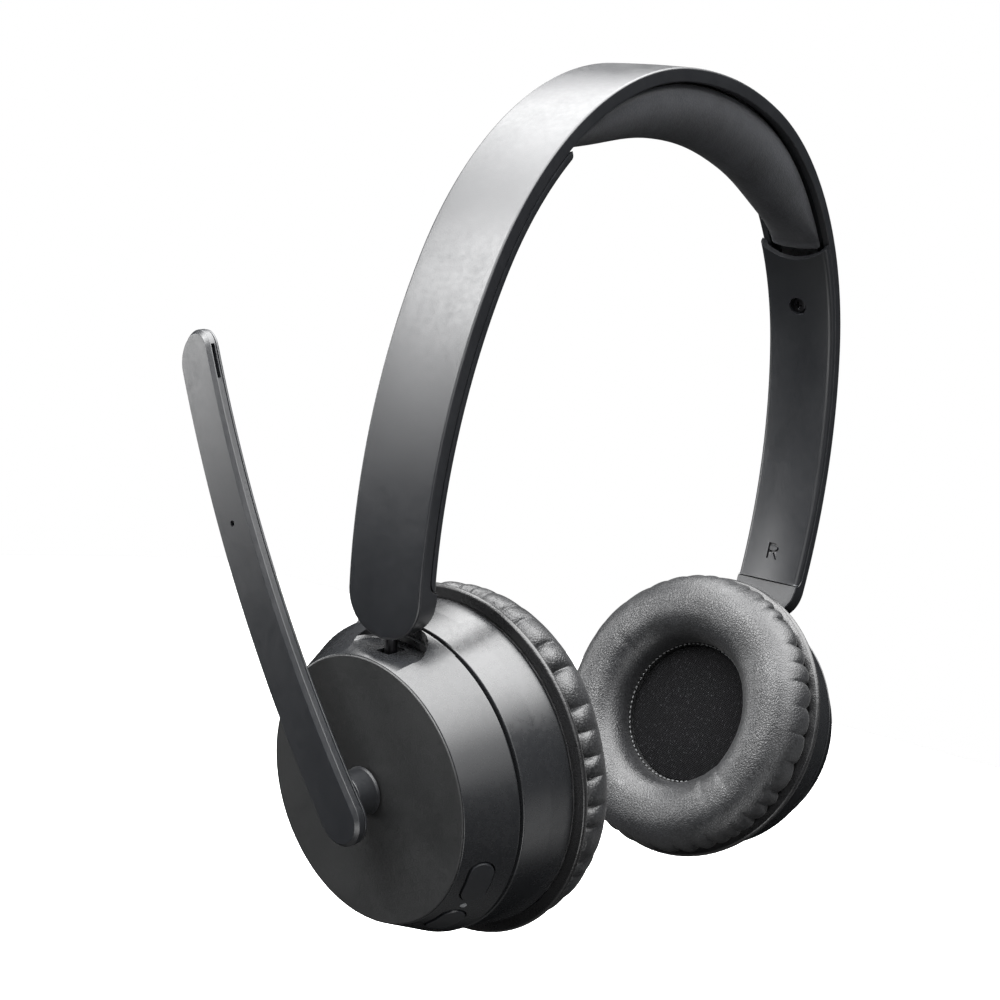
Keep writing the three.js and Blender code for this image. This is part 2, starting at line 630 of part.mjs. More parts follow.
function boomArm(cup) {
  const top = BOOM_OFFSET + BOOM_THICKNESS;
  const frontSection = new THREE.Shape();
  frontSection.moveTo(-1, BOOM_SPLIT + 0.15);
  frontSection.lineTo(1, BOOM_SPLIT + 0.15);
  frontSection.lineTo(1, top - 0.7);
  frontSection.lineTo(0.86, top);
  frontSection.lineTo(-0.86, top);
  frontSection.lineTo(-1, top - 0.7);
  frontSection.closePath();
  const backSection = new THREE.Shape();
  backSection.moveTo(-0.88, BOOM_OFFSET);
  backSection.lineTo(0.88, BOOM_OFFSET);
  backSection.lineTo(1, BOOM_OFFSET + 0.4);
  backSection.lineTo(1, BOOM_SPLIT - 0.15);
  backSection.lineTo(-1, BOOM_SPLIT - 0.15);
  backSection.lineTo(-1, BOOM_OFFSET + 0.4);
  backSection.closePath();
  const stations = boomStations();
  const talkSpot = boomPoint(88, 0, 0);
  const noiseSpot = boomPoint(57, 0, 0);
  const leadSpace = swept(plainSection(2, BOOM_SPLIT - 1, BOOM_SPLIT + 0.8), spread(6, 84, 8), boomPoint);
  const talkSpace = rod(2.9, -20, top - 0.8 + talkSpot.z, talkSpot.x, talkSpot.y, 16);
  const noiseSpace = rod(2.3, -20, top - 0.8 + noiseSpot.z, noiseSpot.x, noiseSpot.y, 16);
  const noiseHole = rod(0.45, -20, 20, noiseSpot.x, noiseSpot.y, 10);
  const slot = swept(plainSection(1, BOOM_SPLIT + 0.6, BOOM_SPLIT + 1.2), spread(85, 91, 3),
    (s, share, z) => boomPoint(s, -4 + share * 3, z));
  let front = swept(frontSection, stations, roundedBoom);
  front = cut(front, leadSpace, talkSpace, noiseSpace, noiseHole, slot);
  const back = swept(backSection, stations, roundedBoom);
  place('boom_front', front, SATIN_BLACK, cup);
  place('boom_back', back, SATIN_BLACK, cup);
  const capsule = (radius, spot) =>
    rod(radius, BOOM_SPLIT + 0.6 + spot.z, top - 1.1 + spot.z, spot.x, spot.y, 14);
  place('talk_microphone', capsule(2.6, talkSpot), STEEL, cup);
  place('noise_microphone', capsule(2, noiseSpot), STEEL, cup);
}

function boomHub(cup) {
  const stub = rod(HUB_RADIUS, GAP, BOOM_OFFSET - GAP, 0, 0, 32);
  const shaft = rod(3, -3.4, GAP + 0.2, 0, 0, 24);
  place('boom_hub', join(stub, shaft), SATIN_BLACK, cup);
  const washer = cut(rod(5.4, -2.6, -1.9, 0, 0, 24), rod(3.3, -4, 0, 0, 0, 24));
  place('boom_washer', washer, STEEL, cup);
}

// ---------- assembly ----------
headbandShell();
headbandSpring();
headbandCushion();
for (const side of [-1, 1]) {
  armCover(side);
  coverScrew(side);
  slider(side);
  const { out, up, across, centre } = cupFrame(side);
  const cup = new THREE.Group();
  cup.setRotationFromMatrix(new THREE.Matrix4().makeBasis(across, up, out));
  cup.position.copy(centre);
  headset.add(cup);
  swivelAxle(side, cup);
  housing(side, cup);
  flaredRing(side, cup);
  baffle(side, cup);
  driver(side, cup);
  padRing(side, cup);
  earPad(side, cup);
  acousticCloth(side, cup);
  if (side < 0) {
    circuitBoard(cup);
    pushButton('multifunction_button', MULTI_BUTTON, cup);
    pushButton('volume_button', VOLUME_BUTTON, cup);
    lightPipe(cup);
    chargePort(cup);
    boomHub(cup);
    boomArm(cup);
  } else {
    battery(cup);
  }
}

export default headset;
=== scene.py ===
import json
import math

import bmesh
import bpy
import numpy as np
from mathutils import Matrix, Vector


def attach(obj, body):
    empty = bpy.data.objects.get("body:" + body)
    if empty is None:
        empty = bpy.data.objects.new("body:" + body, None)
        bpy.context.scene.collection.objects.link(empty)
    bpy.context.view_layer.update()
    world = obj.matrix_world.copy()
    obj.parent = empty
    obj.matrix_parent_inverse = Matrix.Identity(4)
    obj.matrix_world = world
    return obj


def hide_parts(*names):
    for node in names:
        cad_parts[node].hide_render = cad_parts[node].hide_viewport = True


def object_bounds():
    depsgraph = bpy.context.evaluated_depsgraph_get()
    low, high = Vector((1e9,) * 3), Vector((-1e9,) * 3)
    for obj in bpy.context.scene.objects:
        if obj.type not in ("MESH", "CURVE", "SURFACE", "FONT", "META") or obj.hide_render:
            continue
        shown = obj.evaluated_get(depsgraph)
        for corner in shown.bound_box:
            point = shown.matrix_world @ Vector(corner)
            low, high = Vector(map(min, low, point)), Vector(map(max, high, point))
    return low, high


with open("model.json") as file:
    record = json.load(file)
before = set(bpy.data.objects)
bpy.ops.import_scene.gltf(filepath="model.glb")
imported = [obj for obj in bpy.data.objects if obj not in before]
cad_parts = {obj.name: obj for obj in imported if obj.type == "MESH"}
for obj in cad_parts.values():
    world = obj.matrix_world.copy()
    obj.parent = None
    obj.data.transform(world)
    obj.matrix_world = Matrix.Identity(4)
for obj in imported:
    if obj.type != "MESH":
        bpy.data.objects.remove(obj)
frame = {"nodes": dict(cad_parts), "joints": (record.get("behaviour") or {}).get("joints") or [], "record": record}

CAD_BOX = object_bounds()
RECORD = frame["record"]
JOINTS = {joint["name"]: joint for joint in frame["joints"]}

# Design lengths are in millimetres. MM turns them into the scene's metres when a mesh is made.
MM = 0.001

# ---------- driving dimensions, as in the CAD ----------
CROWN_HEIGHT = 16.6
CROWN_RADIUS = 118.5
SHOULDER_RADIUS = 77.0
ARM_RADIUS = 124.5
CROWN_ANGLE = math.radians(10.5)
SHOULDER_ANGLE = math.radians(69.8)
ARM_END = 176.0
CROWN_HALF_WIDTH = 9.55
ARM_HALF_WIDTH = 8.5
WEB = 1.5
FLANGE_DEPTH = 3.2
FLANGE = 1.7
ARM_DEPTH = 5.7
COVER_TOP = 70.0
COVER_END = 166.0
SCREW_AT = 88.6
CUSHION_END = 4.2
CUSHION_FALL = 3.4
GAP = 0.3

PIVOT_HEIGHT = 23.6
PIVOT_DEPTH = 6.0

DISC_RADIUS = 26.4
SIDE_RADIUS = 31.4
SIDE_DEPTH = 10.3
RING_FRONT = 11.1
RING_BACK = 22.7
RING_RADIUS = 33.3
LIP_RADIUS = 36.0
PAD_RADIUS = 34.2
PAD_HOLE = 17.9
PAD_BACK = 24.8
PAD_FRONT = 34.0

BOOM_LEAN = math.radians(37.8)
BOOM_HALF_WIDTH = 5.5
BOOM_THICKNESS = 3.2
BOOM_OFFSET = 5.6
BOOM_TIP = 96.0
BOOM_HUB_END = -9.0
BOOM_IN_BEND = 640.0
BOOM_BACK_BEND = 560.0
BOOM_SPLIT = BOOM_OFFSET + 1
HUB_RADIUS = 4.6

MULTI_BUTTON = {"angle": math.radians(-23), "depth": 4.6, "length": 9.6, "width": 4.8}
VOLUME_BUTTON = {"angle": math.radians(-50), "depth": 4.6, "length": 9.6, "width": 4.8}
LED = {"angle": math.radians(-36.5), "depth": 4.6, "radius": 0.7}
PORT = {"angle": math.radians(-90), "depth": 5.4, "length": 9.0, "width": 3.3}

TURN_STEPS = 192


# ---------- meshes ----------
def new_object(name, vertices, faces):
    """A mesh object from points in millimetres, its doubled points merged and its faces turned outwards."""
    mesh = bpy.data.meshes.new(name)
    mesh.from_pydata([tuple(p) for p in np.asarray(vertices, float) * MM], [], faces)
    work = bmesh.new()
    work.from_mesh(mesh)
    bmesh.ops.remove_doubles(work, verts=work.verts, dist=2e-6)
    bmesh.ops.dissolve_degenerate(work, edges=work.edges, dist=1e-6)
    bmesh.ops.recalc_face_normals(work, faces=work.faces)
    work.to_mesh(mesh)
    work.free()
    obj = bpy.data.objects.new(name, mesh)
    bpy.context.scene.collection.objects.link(obj)
    return obj


def loft(name, rings, loop=False):
    """A surface through closed rings of points. Its ends are capped unless the rings run in a loop."""
    rings = np.asarray(rings, float)
    count, size, _ = rings.shape
    faces = []
    last = count if loop else count - 1
    for i in range(last):
        a, b = i * size, ((i + 1) % count) * size
        for j in range(size):
            k = (j + 1) % size
            faces.append((a + j, a + k, b + k, b + j))
    if not loop:
        faces.append(tuple(range(size)))
        faces.append(tuple(range((count - 1) * size, count * size)))
    return new_object(name, rings.reshape(-1, 3), faces)


def evaluated(obj):
    """Applies the object's modifiers."""
    bpy.context.view_layer.update()
    mesh = bpy.data.meshes.new_from_object(obj.evaluated_get(bpy.context.evaluated_depsgraph_get()))
    obj.modifiers.clear()
    old = obj.data
    obj.data = mesh
    bpy.data.meshes.remove(old)
    return obj


def carve(obj, *cutters, operation="DIFFERENCE"):
    """Cuts the cutters from obj, or joins them to it, and removes them."""
    for cutter in cutters:
        modifier = obj.modifiers.new("carve", "BOOLEAN")
        modifier.operation = operation
        modifier.solver = "EXACT"
        modifier.object = cutter
        evaluated(obj)
        bpy.data.objects.remove(cutter)
    return obj


def bevel(obj, width, segments, angle):
    """Rounds the edges that turn by more than angle, in degrees."""
    modifier = obj.modifiers.new("bevel", "BEVEL")
    modifier.width = width * MM
    modifier.segments = segments
    modifier.limit_method = "ANGLE"
    modifier.angle_limit = math.radians(angle)
    modifier.miter_outer = "MITER_ARC"
    return evaluated(obj)


def subdivide(obj, levels):
    modifier = obj.modifiers.new("smooth", "SUBSURF")
    modifier.levels = levels
    modifier.render_levels = levels
    return evaluated(obj)


def shade(obj, angle=32):
    obj.data.shade_smooth()
    obj.data.set_sharp_from_angle(angle=math.radians(angle))
    return obj


def move(obj, matrix):
    """Places a mesh made in a local frame of millimetres by that frame's matrix, also in millimetres."""
    scaled = matrix.copy()
    scaled.translation = matrix.translation * MM
    obj.data.transform(scaled)
    return obj


def spread(start, end, count):
    return np.linspace(start, end, count + 1)


def side_name(side):
    return "left" if side < 0 else "right"


def rounded(points, radii, steps=4, closed=False):
    """A polyline with each corner rounded by its radius; 0 leaves it sharp."""
    points = [np.array(p, float) for p in points]
    out = []
    total = len(points)
    for i, corner in enumerate(points):
        radius = radii[i] if hasattr(radii, "__len__") else radii
        if radius <= 0 or (not closed and i in (0, total - 1)):
            out.append(corner)
            continue
        back = points[i - 1] - corner
        ahead = points[(i + 1) % total] - corner
        room = min(np.linalg.norm(back), np.linalg.norm(ahead))
        back, ahead = back / np.linalg.norm(back), ahead / np.linalg.norm(ahead)
        half = math.acos(max(-1.0, min(1.0, float(back @ ahead)))) / 2
        if half > math.radians(89):
            out.append(corner)
            continue
        reach = min(radius / math.tan(half), room * 0.49)
        radius = reach * math.tan(half)
        centre = corner + (back + ahead) / np.linalg.norm(back + ahead) * radius / math.sin(half)
        start, end = corner + back * reach - centre, corner + ahead * reach - centre
        angle = math.acos(max(-1.0, min(1.0, float(start @ end) / radius**2)))
        for t in np.linspace(0, 1, steps + 1):
            mix = (math.sin((1 - t) * angle) * start + math.sin(t * angle) * end) / math.sin(angle)
            out.append(centre + mix)
    return np.array(out)


def turned(name, profile, steps=TURN_STEPS, closed=False):
    """A lathe about the cup's axis. The profile's points are (radius, depth behind the disc face)."""
    profile = np.asarray(profile, float)
    angles = np.arange(steps) * 2 * math.pi / steps
    radius, depth = profile[:, 0], profile[:, 1]
    points = np.stack([
        np.outer(np.cos(angles), radius),
        np.outer(np.sin(angles), radius),
        np.tile(-depth, (steps, 1)),
    ], axis=-1)
    size = len(profile)
    faces = []
    for i in range(steps):
        a, b = i * size, ((i + 1) % steps) * size
        for j in range(size if closed else size - 1):
            k = (j + 1) % size
            faces.append((a + j, a + k, b + k, b + j))
    return new_object(name, points.reshape(-1, 3), faces)


def rod(name, radius, start, end, steps=48):
    """A cylinder along local Z."""
    return turned(name, [(0, -start), (radius, -start), (radius, -end), (0, -end)], steps)


def stadium(length, width, steps=16):
    radius = width / 2
    straight = length / 2 - radius
    angles = spread(-math.pi / 2, math.pi / 2, steps)
    right = [(straight + radius * math.cos(a), radius * math.sin(a)) for a in angles]
    return np.array(right + [(-x, -y) for x, y in right])


def slab(name, outline, start, end):
    """An outline drawn in local XY, pulled from z start to z end."""
    outline = np.asarray(outline, float)
    rings = [np.column_stack([outline, np.full(len(outline), z)]) for z in (start, end)]
    return loft(name, rings)


def brick(name, x, y, z):
    """A box cutter from the ranges of x, y and z."""
    outline = [(x[0], y[0]), (x[1], y[0]), (x[1], y[1]), (x[0], y[1])]
    return slab(name, outline, *z)


# ---------- padding ----------
SWELL = 0.5                 # how far a padded skin may swell, in millimetres
CLOTH_SCALE = 12            # the solver is steady on skins enlarged this many times
CLOTH_STEPS = 15
CUSHION_PRESSURE = 4
PAD_PRESSURE = 30


def inflate(obj, seam, limit, pressure):
    """Swells a padded skin with Blender's cloth, held where seam(point in millimetres) is true.

    No point moves further than the limit.
    """
    mesh = obj.data
    start = np.array([v.co for v in mesh.vertices])
    mesh.transform(Matrix.Scale(CLOTH_SCALE, 4))
    held = obj.vertex_groups.new(name="seams")
    held.add([i for i, p in enumerate(start) if seam(p / MM)], 1.0, "REPLACE")
    cloth = obj.modifiers.new("inflate", "CLOTH")
    cloth.settings.quality = 4
    cloth.settings.use_pressure = True
    cloth.settings.uniform_pressure_force = pressure
    cloth.settings.effector_weights.gravity = 0
    cloth.settings.vertex_group_mass = held.name
    cloth.settings.tension_stiffness = 12
    cloth.settings.bending_stiffness = 2
    cloth.collision_settings.use_collision = False
    scene = bpy.context.scene
    for step in range(1, CLOTH_STEPS + 1):
        scene.frame_set(step)
    swollen = obj.evaluated_get(bpy.context.evaluated_depsgraph_get()).data
    end = np.array([v.co for v in swollen.vertices]) / CLOTH_SCALE
    obj.modifiers.clear()
    obj.vertex_groups.clear()
    scene.frame_set(1)
    way = end - start
    length = np.linalg.norm(way, axis=1, keepdims=True)
    way *= limit * MM * np.tanh(length / (limit * MM)) / np.maximum(length, 1e-9)
    for vertex, point in zip(mesh.vertices, start + way):
        vertex.co = point
    mesh.update()
    return obj


# ---------- the band's path ----------
CROWN_ARC = CROWN_RADIUS * CROWN_ANGLE
SHOULDER_ARC = SHOULDER_RADIUS * (SHOULDER_ANGLE - CROWN_ANGLE)


def band_profile(s):
    """x, z and the tangent angle of the band's outer face, at arc lengths s from the crown."""
    s = np.abs(s)
    crown = np.minimum(s, CROWN_ARC) / CROWN_RADIUS
    shoulder = np.clip(s - CROWN_ARC, 0, SHOULDER_ARC) / SHOULDER_RADIUS
    arm = np.maximum(s - CROWN_ARC - SHOULDER_ARC, 0) / ARM_RADIUS
    x, z = 0.0, CROWN_HEIGHT
    for radius, start, turn in (
        (CROWN_RADIUS, 0.0, crown),
        (SHOULDER_RADIUS, CROWN_ANGLE, shoulder),
        (ARM_RADIUS, SHOULDER_ANGLE, arm),
    ):
        x = x + radius * (np.sin(start + turn) - np.sin(start))
        z = z + radius * (np.cos(start + turn) - np.cos(start))
    return x, z, crown + shoulder + arm


def band_point(s, w, h):
    """Points of the band: arc length s, negative on the left, w forward and h in from the outer face."""
    s, w, h = np.broadcast_arrays(np.asarray(s, float), w, h)
    side = np.where(s < 0, -1.0, 1.0)
    x, z, angle = band_profile(s)
    return np.stack([side * (x - h * np.sin(angle)), w, z - h * np.cos(angle)], axis=-1)


def half_width(s):
    return CROWN_HALF_WIDTH + (ARM_HALF_WIDTH - CROWN_HALF_WIDTH) * np.abs(s) / ARM_END


def arm_frame(s, h=0.0):
    """A frame on the arm: local Z along the inward normal and local Y up the arm."""
    side = -1 if s < 0 else 1
    _, _, angle = band_profile(s)
    inward = Vector((-side * math.sin(angle), 0, -math.cos(angle)))
    up = Vector((-side * math.cos(angle), 0, math.sin(angle)))
    across = up.cross(inward)
    matrix = Matrix((across, up, inward)).transposed().to_4x4()
    matrix.translation = Vector(band_point(s, 0.0, h))
    return matrix


def strip(name, straight, ends, section, half, radius, place):
    """A strip with round ends. section(s) gives rows of (share of width, inset from the edge, depth)."""
    turns = np.radians(spread(0, 90, 12))[1:]
    stations = [(ends[0], -a) for a in turns[::-1]]
    stations += [(s, 0.0) for s in straight]
    stations += [(ends[1], a) for a in turns]
    rings = []
    for s, turn in stations:
        station = s + math.copysign(radius * math.sin(abs(turn)), turn) if turn else s
        rows = np.asarray(section(station), float)
        share, inset, depth = rows.T
        along = s + (radius - inset) * math.sin(turn)
        wide = (radius - inset) * math.cos(turn) if turn else half(s) - inset
        rings.append(place(along, share * wide, depth))
    return loft(name, rings)


def edge_turn(inset, depth, radius, steps=4, outwards=True):
    """Rows of (inset, depth) round an edge whose corner is at (inset, depth)."""
    angles = np.radians(spread(0, 90, steps))
    rows = [(inset + radius * (1 - math.sin(a)), depth + radius * (1 - math.cos(a))) for a in angles]
    if not outwards:
        rows = [(i, 2 * depth - d) for i, d in rows][::-1]
    return rows


# ---------- headband ----------
COVER_CORNER = 2.4          # radius of the cover's lower corner, seen from the side
FACE_CROWN = 0.16           # how far the outer face falls from its middle to its edges
COVER_CROWN = 0.8           # rise of the cover's middle over its corners
CHANNEL_END = COVER_END - 1.5
BOSS_RADIUS = 2.4
SLIDER_SLOT = {"start": 157, "half_width": 5.3}


def corner_level(s, radius):
    """Depth of the seam between shell and cover, which curls inwards round the cover's lower corner."""
    centre = COVER_END - COVER_CORNER
    beyond = abs(s) - centre
    level = FLANGE_DEPTH + GAP + COVER_CORNER
    if beyond <= 0:
        return level - radius
    if beyond >= radius:
        return ARM_DEPTH
    return min(ARM_DEPTH, level - math.sqrt(radius**2 - beyond**2))


def shell_section(s):
    """The shell's closed section: crowned outer face, side flanges, and the channel between them."""
    depth = corner_level(s, COVER_CORNER + GAP)
    floor = WEB if abs(s) < CHANNEL_END else depth
    edge, foot = 0.5, 0.3
    shares = np.linspace(-1, 1, 11)
    rows = [(k, edge, FACE_CROWN * k * k) for k in shares]
    outer = edge_turn(0, FACE_CROWN, edge)
    outer += edge_turn(0, depth, foot, 3, outwards=False)
    outer += [(FLANGE - 0.15, depth), (FLANGE, depth - min(0.15, depth - floor)), (FLANGE, floor)]
    rows += [(1, inset, h) for inset, h in outer[1:]]
    rows += [(-1, inset, h) for inset, h in outer[1:][::-1]]
    return rows


def headband_shell():
    inner_end = ARM_END - ARM_HALF_WIDTH
    bend = spread(COVER_END - COVER_CORNER, COVER_END + GAP, 8)
    channel = spread(0, COVER_END - COVER_CORNER, 110)
    half = sorted({*channel, CHANNEL_END - 0.01, CHANNEL_END, *bend, inner_end})
    straight = [-s for s in half[:0:-1]] + half
    shell = strip("headband_shell_skin", straight, (-inner_end, inner_end), shell_section, half_width,
                  ARM_HALF_WIDTH, band_point)
    for side in (-1, 1):
        stations = side * spread(SLIDER_SLOT["start"], ARM_END + 4, 12)
        wide, deep = SLIDER_SLOT["half_width"], ARM_DEPTH - 1
        slot = [(-wide, WEB), (wide, WEB), (wide, deep), (-wide, deep)]
        rings = [[band_point(s, w, h) for w, h in slot] for s in stations]
        carve(shell, loft("slot", rings))
        boss = rod("boss", BOSS_RADIUS, WEB - 0.6, 3.5, 32)
        carve(shell, move(boss, arm_frame(side * SCREW_AT)), operation="UNION")
        bore = rod("bore", 1.05, WEB, 4, 24)
        carve(shell, move(bore, arm_frame(side * SCREW_AT)))
    return dress(shell, SATIN, "headband", "satin_shell", "headband_shell")


def cover_section(s):
    """The cover's closed section as (w, h): side walls, rounded corners and a gently convex inner face."""
    half = float(half_width(s))
    edge = corner_level(s, COVER_CORNER)
    wall = 1.15
    corner = 1.4
    outer = [(-half, edge)]
    for a in np.radians(spread(0, 78, 6)):
        outer.append((-half + corner * (1 - math.cos(a)), ARM_DEPTH - corner + corner * math.sin(a)))
    start = outer[-1]
    for k in np.linspace(0, 0.5, 7)[1:]:
        w = start[0] * (1 - 2 * k)
        outer.append((w, start[1] + COVER_CROWN * (1 - (w / start[0]) ** 2)))
    outer = [(w, max(h, edge)) for w, h in outer]
    outer += [(-w, h) for w, h in outer[-2::-1]]
    inner = [(w * (half - wall) / half, max(h - wall, edge)) for w, h in outer[::-1]]
    return np.array(outer + inner)


LETTER_AT = 158.0           # arc length of the side letters
LETTER_LINE = 0.55          # width of their lines
LETTERS = {
    "left": [[(-0.9, 2.0), (-0.9, -1.9), (1.3, -1.9)]],
    "right": [
        [(-1.2, -2.0), (-1.2, 1.9), (0.4, 1.9), (1.1, 1.55),
         (1.35, 0.9), (1.1, 0.3), (0.4, -0.05), (-0.9, -0.05)],
        [(0.32, -0.32), (1.4, -2.0)],
    ],
}


def stroke(points):
    """A cutter for one line of a moulded letter, sunk in the cover's inner face."""
    points = np.array(points)
    ways = np.diff(points, axis=0)
    ways /= np.linalg.norm(ways, axis=1, keepdims=True)
    before, after = np.vstack([ways[:1], ways]), np.vstack([ways, ways[-1:]])
    sides = np.column_stack([-(before + after)[:, 1], (before + after)[:, 0]])
    sides *= LETTER_LINE / (1 + np.sum(before * after, axis=1, keepdims=True)) / 2
    low, high = ARM_DEPTH + 0.1, ARM_DEPTH + 3
    rings = [[(*a, low), (*b, low), (*b, high), (*a, high)] for a, b in zip(points + sides, points - sides)]
    return loft("stroke", rings)


def arm_cover(side):
    name = side_name(side)
    corner = spread(COVER_END - COVER_CORNER, COVER_END, 8)
    stations = [*spread(COVER_TOP - 2, COVER_END - COVER_CORNER, 70), *corner[1:]]
    rings = []
    for s in stations:
        section = cover_section(s)
        rings.append(band_point(side * s, section[:, 0], section[:, 1]))
    cover = loft(f"arm_cover_{name}_skin", rings)
    seat = rod("seat", 3.1, 3.8, ARM_DEPTH + 0.2, 48)
    carve(cover, move(seat, arm_frame(side * SCREW_AT)), operation="UNION")
    mouth = rod("mouth", 16, 0, 14, 192)
    counterbore = rod("counterbore", 2.3, 4.6, 12, 48)
    clearance = rod("clearance", 1.2, 2, 12, 32)
    carve(cover, move(mouth, arm_frame(side * (COVER_TOP - 13.6))))
    for cutter in (counterbore, clearance):
        carve(cover, move(cutter, arm_frame(side * SCREW_AT)))
    for points in LETTERS[name]:
        carve(cover, move(stroke(points), arm_frame(side * LETTER_AT)))
    bevel(cover, 0.26, 3, 40)
    return dress(cover, SATIN, "headband", "satin_cover", f"arm_cover_{name}")


def cover_screw(side):
    name = side_name(side)
    head = rounded([(0, -5.95), (1.95, -5.75), (1.95, -4.95), (0, -4.95)], [0, 0.5, 0.1, 0])
    screw = turned(f"cover_screw_{name}_head", head, 64)
    shank = rod("shank", 0.75, 1.9, 5.2, 24)
    carve(screw, shank, operation="UNION")
    for x, y in ((1.25, 0.3), (0.3, 1.25)):
        outline = [(-x, -y), (x, -y), (x, y), (-x, y)]
        rings = [[(u * k, v * k, z) for u, v in outline] for z, k in ((5.1, 0.45), (6.2, 1.05))]
        carve(screw, loft("cross", rings))
    move(screw, arm_frame(side * SCREW_AT))
    return dress(screw, BLACKENED, "headband", "dark_steel", f"cover_screw_{name}")


def cushion_depth(s):
    """How far in the crown's cushion reaches at arc length s."""
    share = np.minimum(np.abs(s) / COVER_TOP, 1)
    return CUSHION_END + (CROWN_HEIGHT - CUSHION_END) * (1 - share**CUSHION_FALL)


def headband_cushion():
    base = WEB + GAP + 0.6 + GAP
    end = COVER_TOP + 2
    turns = np.radians(spread(0, 180, 26))
    across = 0.79 * np.sign(np.cos(turns)) * np.abs(np.cos(turns)) ** 0.8
    rise = np.abs(np.sin(turns)) ** 0.82
    across = across * (1 + 0.06 * np.sin(math.pi * np.minimum(rise * 1.4, 1)))
    rings = []
    for s in spread(-end, end, 130):
        narrow = 1 - 0.12 * (s / end) ** 4
        depth = base + rise * (cushion_depth(s) - base - SWELL)
        rings.append(band_point(s, across * half_width(s) * narrow, depth))
    cushion = loft("headband_cushion_leather", rings)
    inflate(cushion, lambda p: False, SWELL, CUSHION_PRESSURE)
    subdivide(cushion, 1)
    return dress(cushion, LINER, "headband", "leatherette", "headband_cushion")


# ---------- the cups' frames, from the joints ----------
def cup_frame(side):
    """Local X across, Y up the neck and Z outwards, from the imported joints, in millimetres."""
    name = side_name(side)
    across = Vector(JOINTS[f"{name}_tilt"]["axis"]).normalized()
    up = Vector(JOINTS[f"{name}_swivel"]["axis"]).normalized()
    out = across.cross(up).normalized()
    pivot = Vector(JOINTS[f"{name}_tilt"]["pos_m"]) / MM
    matrix = Matrix((across, up, out)).transposed().to_4x4()
    matrix.translation = pivot - PIVOT_HEIGHT * up + PIVOT_DEPTH * out
    return matrix


def wall_radius(depth):
    return DISC_RADIUS + (SIDE_RADIUS - DISC_RADIUS) * depth / SIDE_DEPTH


WALL_SLOPE = math.atan2(SIDE_RADIUS - DISC_RADIUS, SIDE_DEPTH)
HUB_HOLE = 3.3
SCOOP_LEVELS = ((27.0, 1.0), (27.2, 0.4), (27.6, 0.0), (29.0, 0.0), (46.0, -1.2))   # (height, inset)


def wall_frame(angle, depth):
    """A frame on the side wall: local Z along the wall's normal, local X around the cup."""
    radial = Vector((math.cos(angle), math.sin(angle), 0))
    around = Vector((-math.sin(angle), math.cos(angle), 0))
    normal = radial * math.cos(WALL_SLOPE) + Vector((0, 0, math.sin(WALL_SLOPE)))
    along = normal.cross(around)
    matrix = Matrix((around, along, normal)).transposed().to_4x4()
    matrix.translation = radial * wall_radius(depth) + Vector((0, 0, -depth))
    return matrix


def neck_cutters():
    """The scoop under the arm end, the axle's pocket and the slot that the neck pin passes through."""
    rings = []
    for height, inset in SCOOP_LEVELS:
        half, back = 8.9 - inset, 10.0 - inset
        corners = [(-half, back), (half, back), (half, -6.0), (-half, -6.0)]
        outline = rounded(corners, [5.2 - inset, 5.2 - inset, 0, 0], 14, True)
        rings.append([(x, height, -depth) for x, depth in outline])
    scoop = loft("scoop", rings)
    pocket = rod("pocket", 2.5 + GAP, -4.4, 4.4)
    place = Matrix.Translation((0, PIVOT_HEIGHT * MM, -PIVOT_DEPTH * MM))
    pocket.data.transform(place @ Matrix.Rotation(math.pi / 2, 4, "Y"))
    slot = brick("neck_slot", (-1.7, 1.7), (PIVOT_HEIGHT - 7, PIVOT_HEIGHT + 7.5),
                 (-PIVOT_DEPTH - 2.3, -PIVOT_DEPTH + 2.3))
    return [scoop, pocket, slot]


def wall_cutters():
    """The left wall's holes for the buttons, the light and the charging port."""
    cutters = []
    for button in (MULTI_BUTTON, VOLUME_BUTTON):
        hole = slab("hole", stadium(button["length"] + 0.7, button["width"] + 0.7), -6, 6)
        cutters.append(move(hole, wall_frame(button["angle"], button["depth"])))
    led_hole = rod("led_hole", LED["radius"] + 0.1, -6, 6)
    cutters.append(move(led_hole, wall_frame(LED["angle"], LED["depth"])))
    port_hole = slab("port_hole", stadium(PORT["length"] + 0.5, PORT["width"] + 0.5), -8, 8)
    cutters.append(move(port_hole, wall_frame(PORT["angle"], PORT["depth"])))
    return cutters


def housing(side):
    name = side_name(side)
    outline = [
        (DISC_RADIUS - 1.2, 0.9), (DISC_RADIUS - 0.3, 0.35), (DISC_RADIUS + 0.15, 0.35),
        (SIDE_RADIUS, SIDE_DEPTH), (29.4, SIDE_DEPTH), (29.4, 8.6), (24.8, 1.6),
    ]
    outline = rounded(outline, [0, 0.1, 0.2, 0.25, 0.1, 0, 0], 3, True)
    wall = turned(f"housing_{name}_wall", outline, closed=True)
    bearing = brick("bearing", (-13, 13), (20.4, 31.0), (-SIDE_DEPTH + 0.1, -1.7))
    cone = [(0, 0.6), (DISC_RADIUS, 0.6), (SIDE_RADIUS - 0.05, SIDE_DEPTH), (0, SIDE_DEPTH)]
    carve(bearing, turned("solid", cone, 96), operation="INTERSECT")
    carve(wall, bearing, operation="UNION")
    if side < 0:
        carve(wall, *wall_cutters())
    bevel(wall, 0.12, 2, 42)
    # The neck is cut after the bevel: with the bevel last, the wall touched the slider.
    carve(wall, *neck_cutters())
    move(wall, cup_frame(side))
    dress(wall, GLOSS, f"cup_{name}", "gloss_ring", f"housing_{name}")
    cup_disc(side)


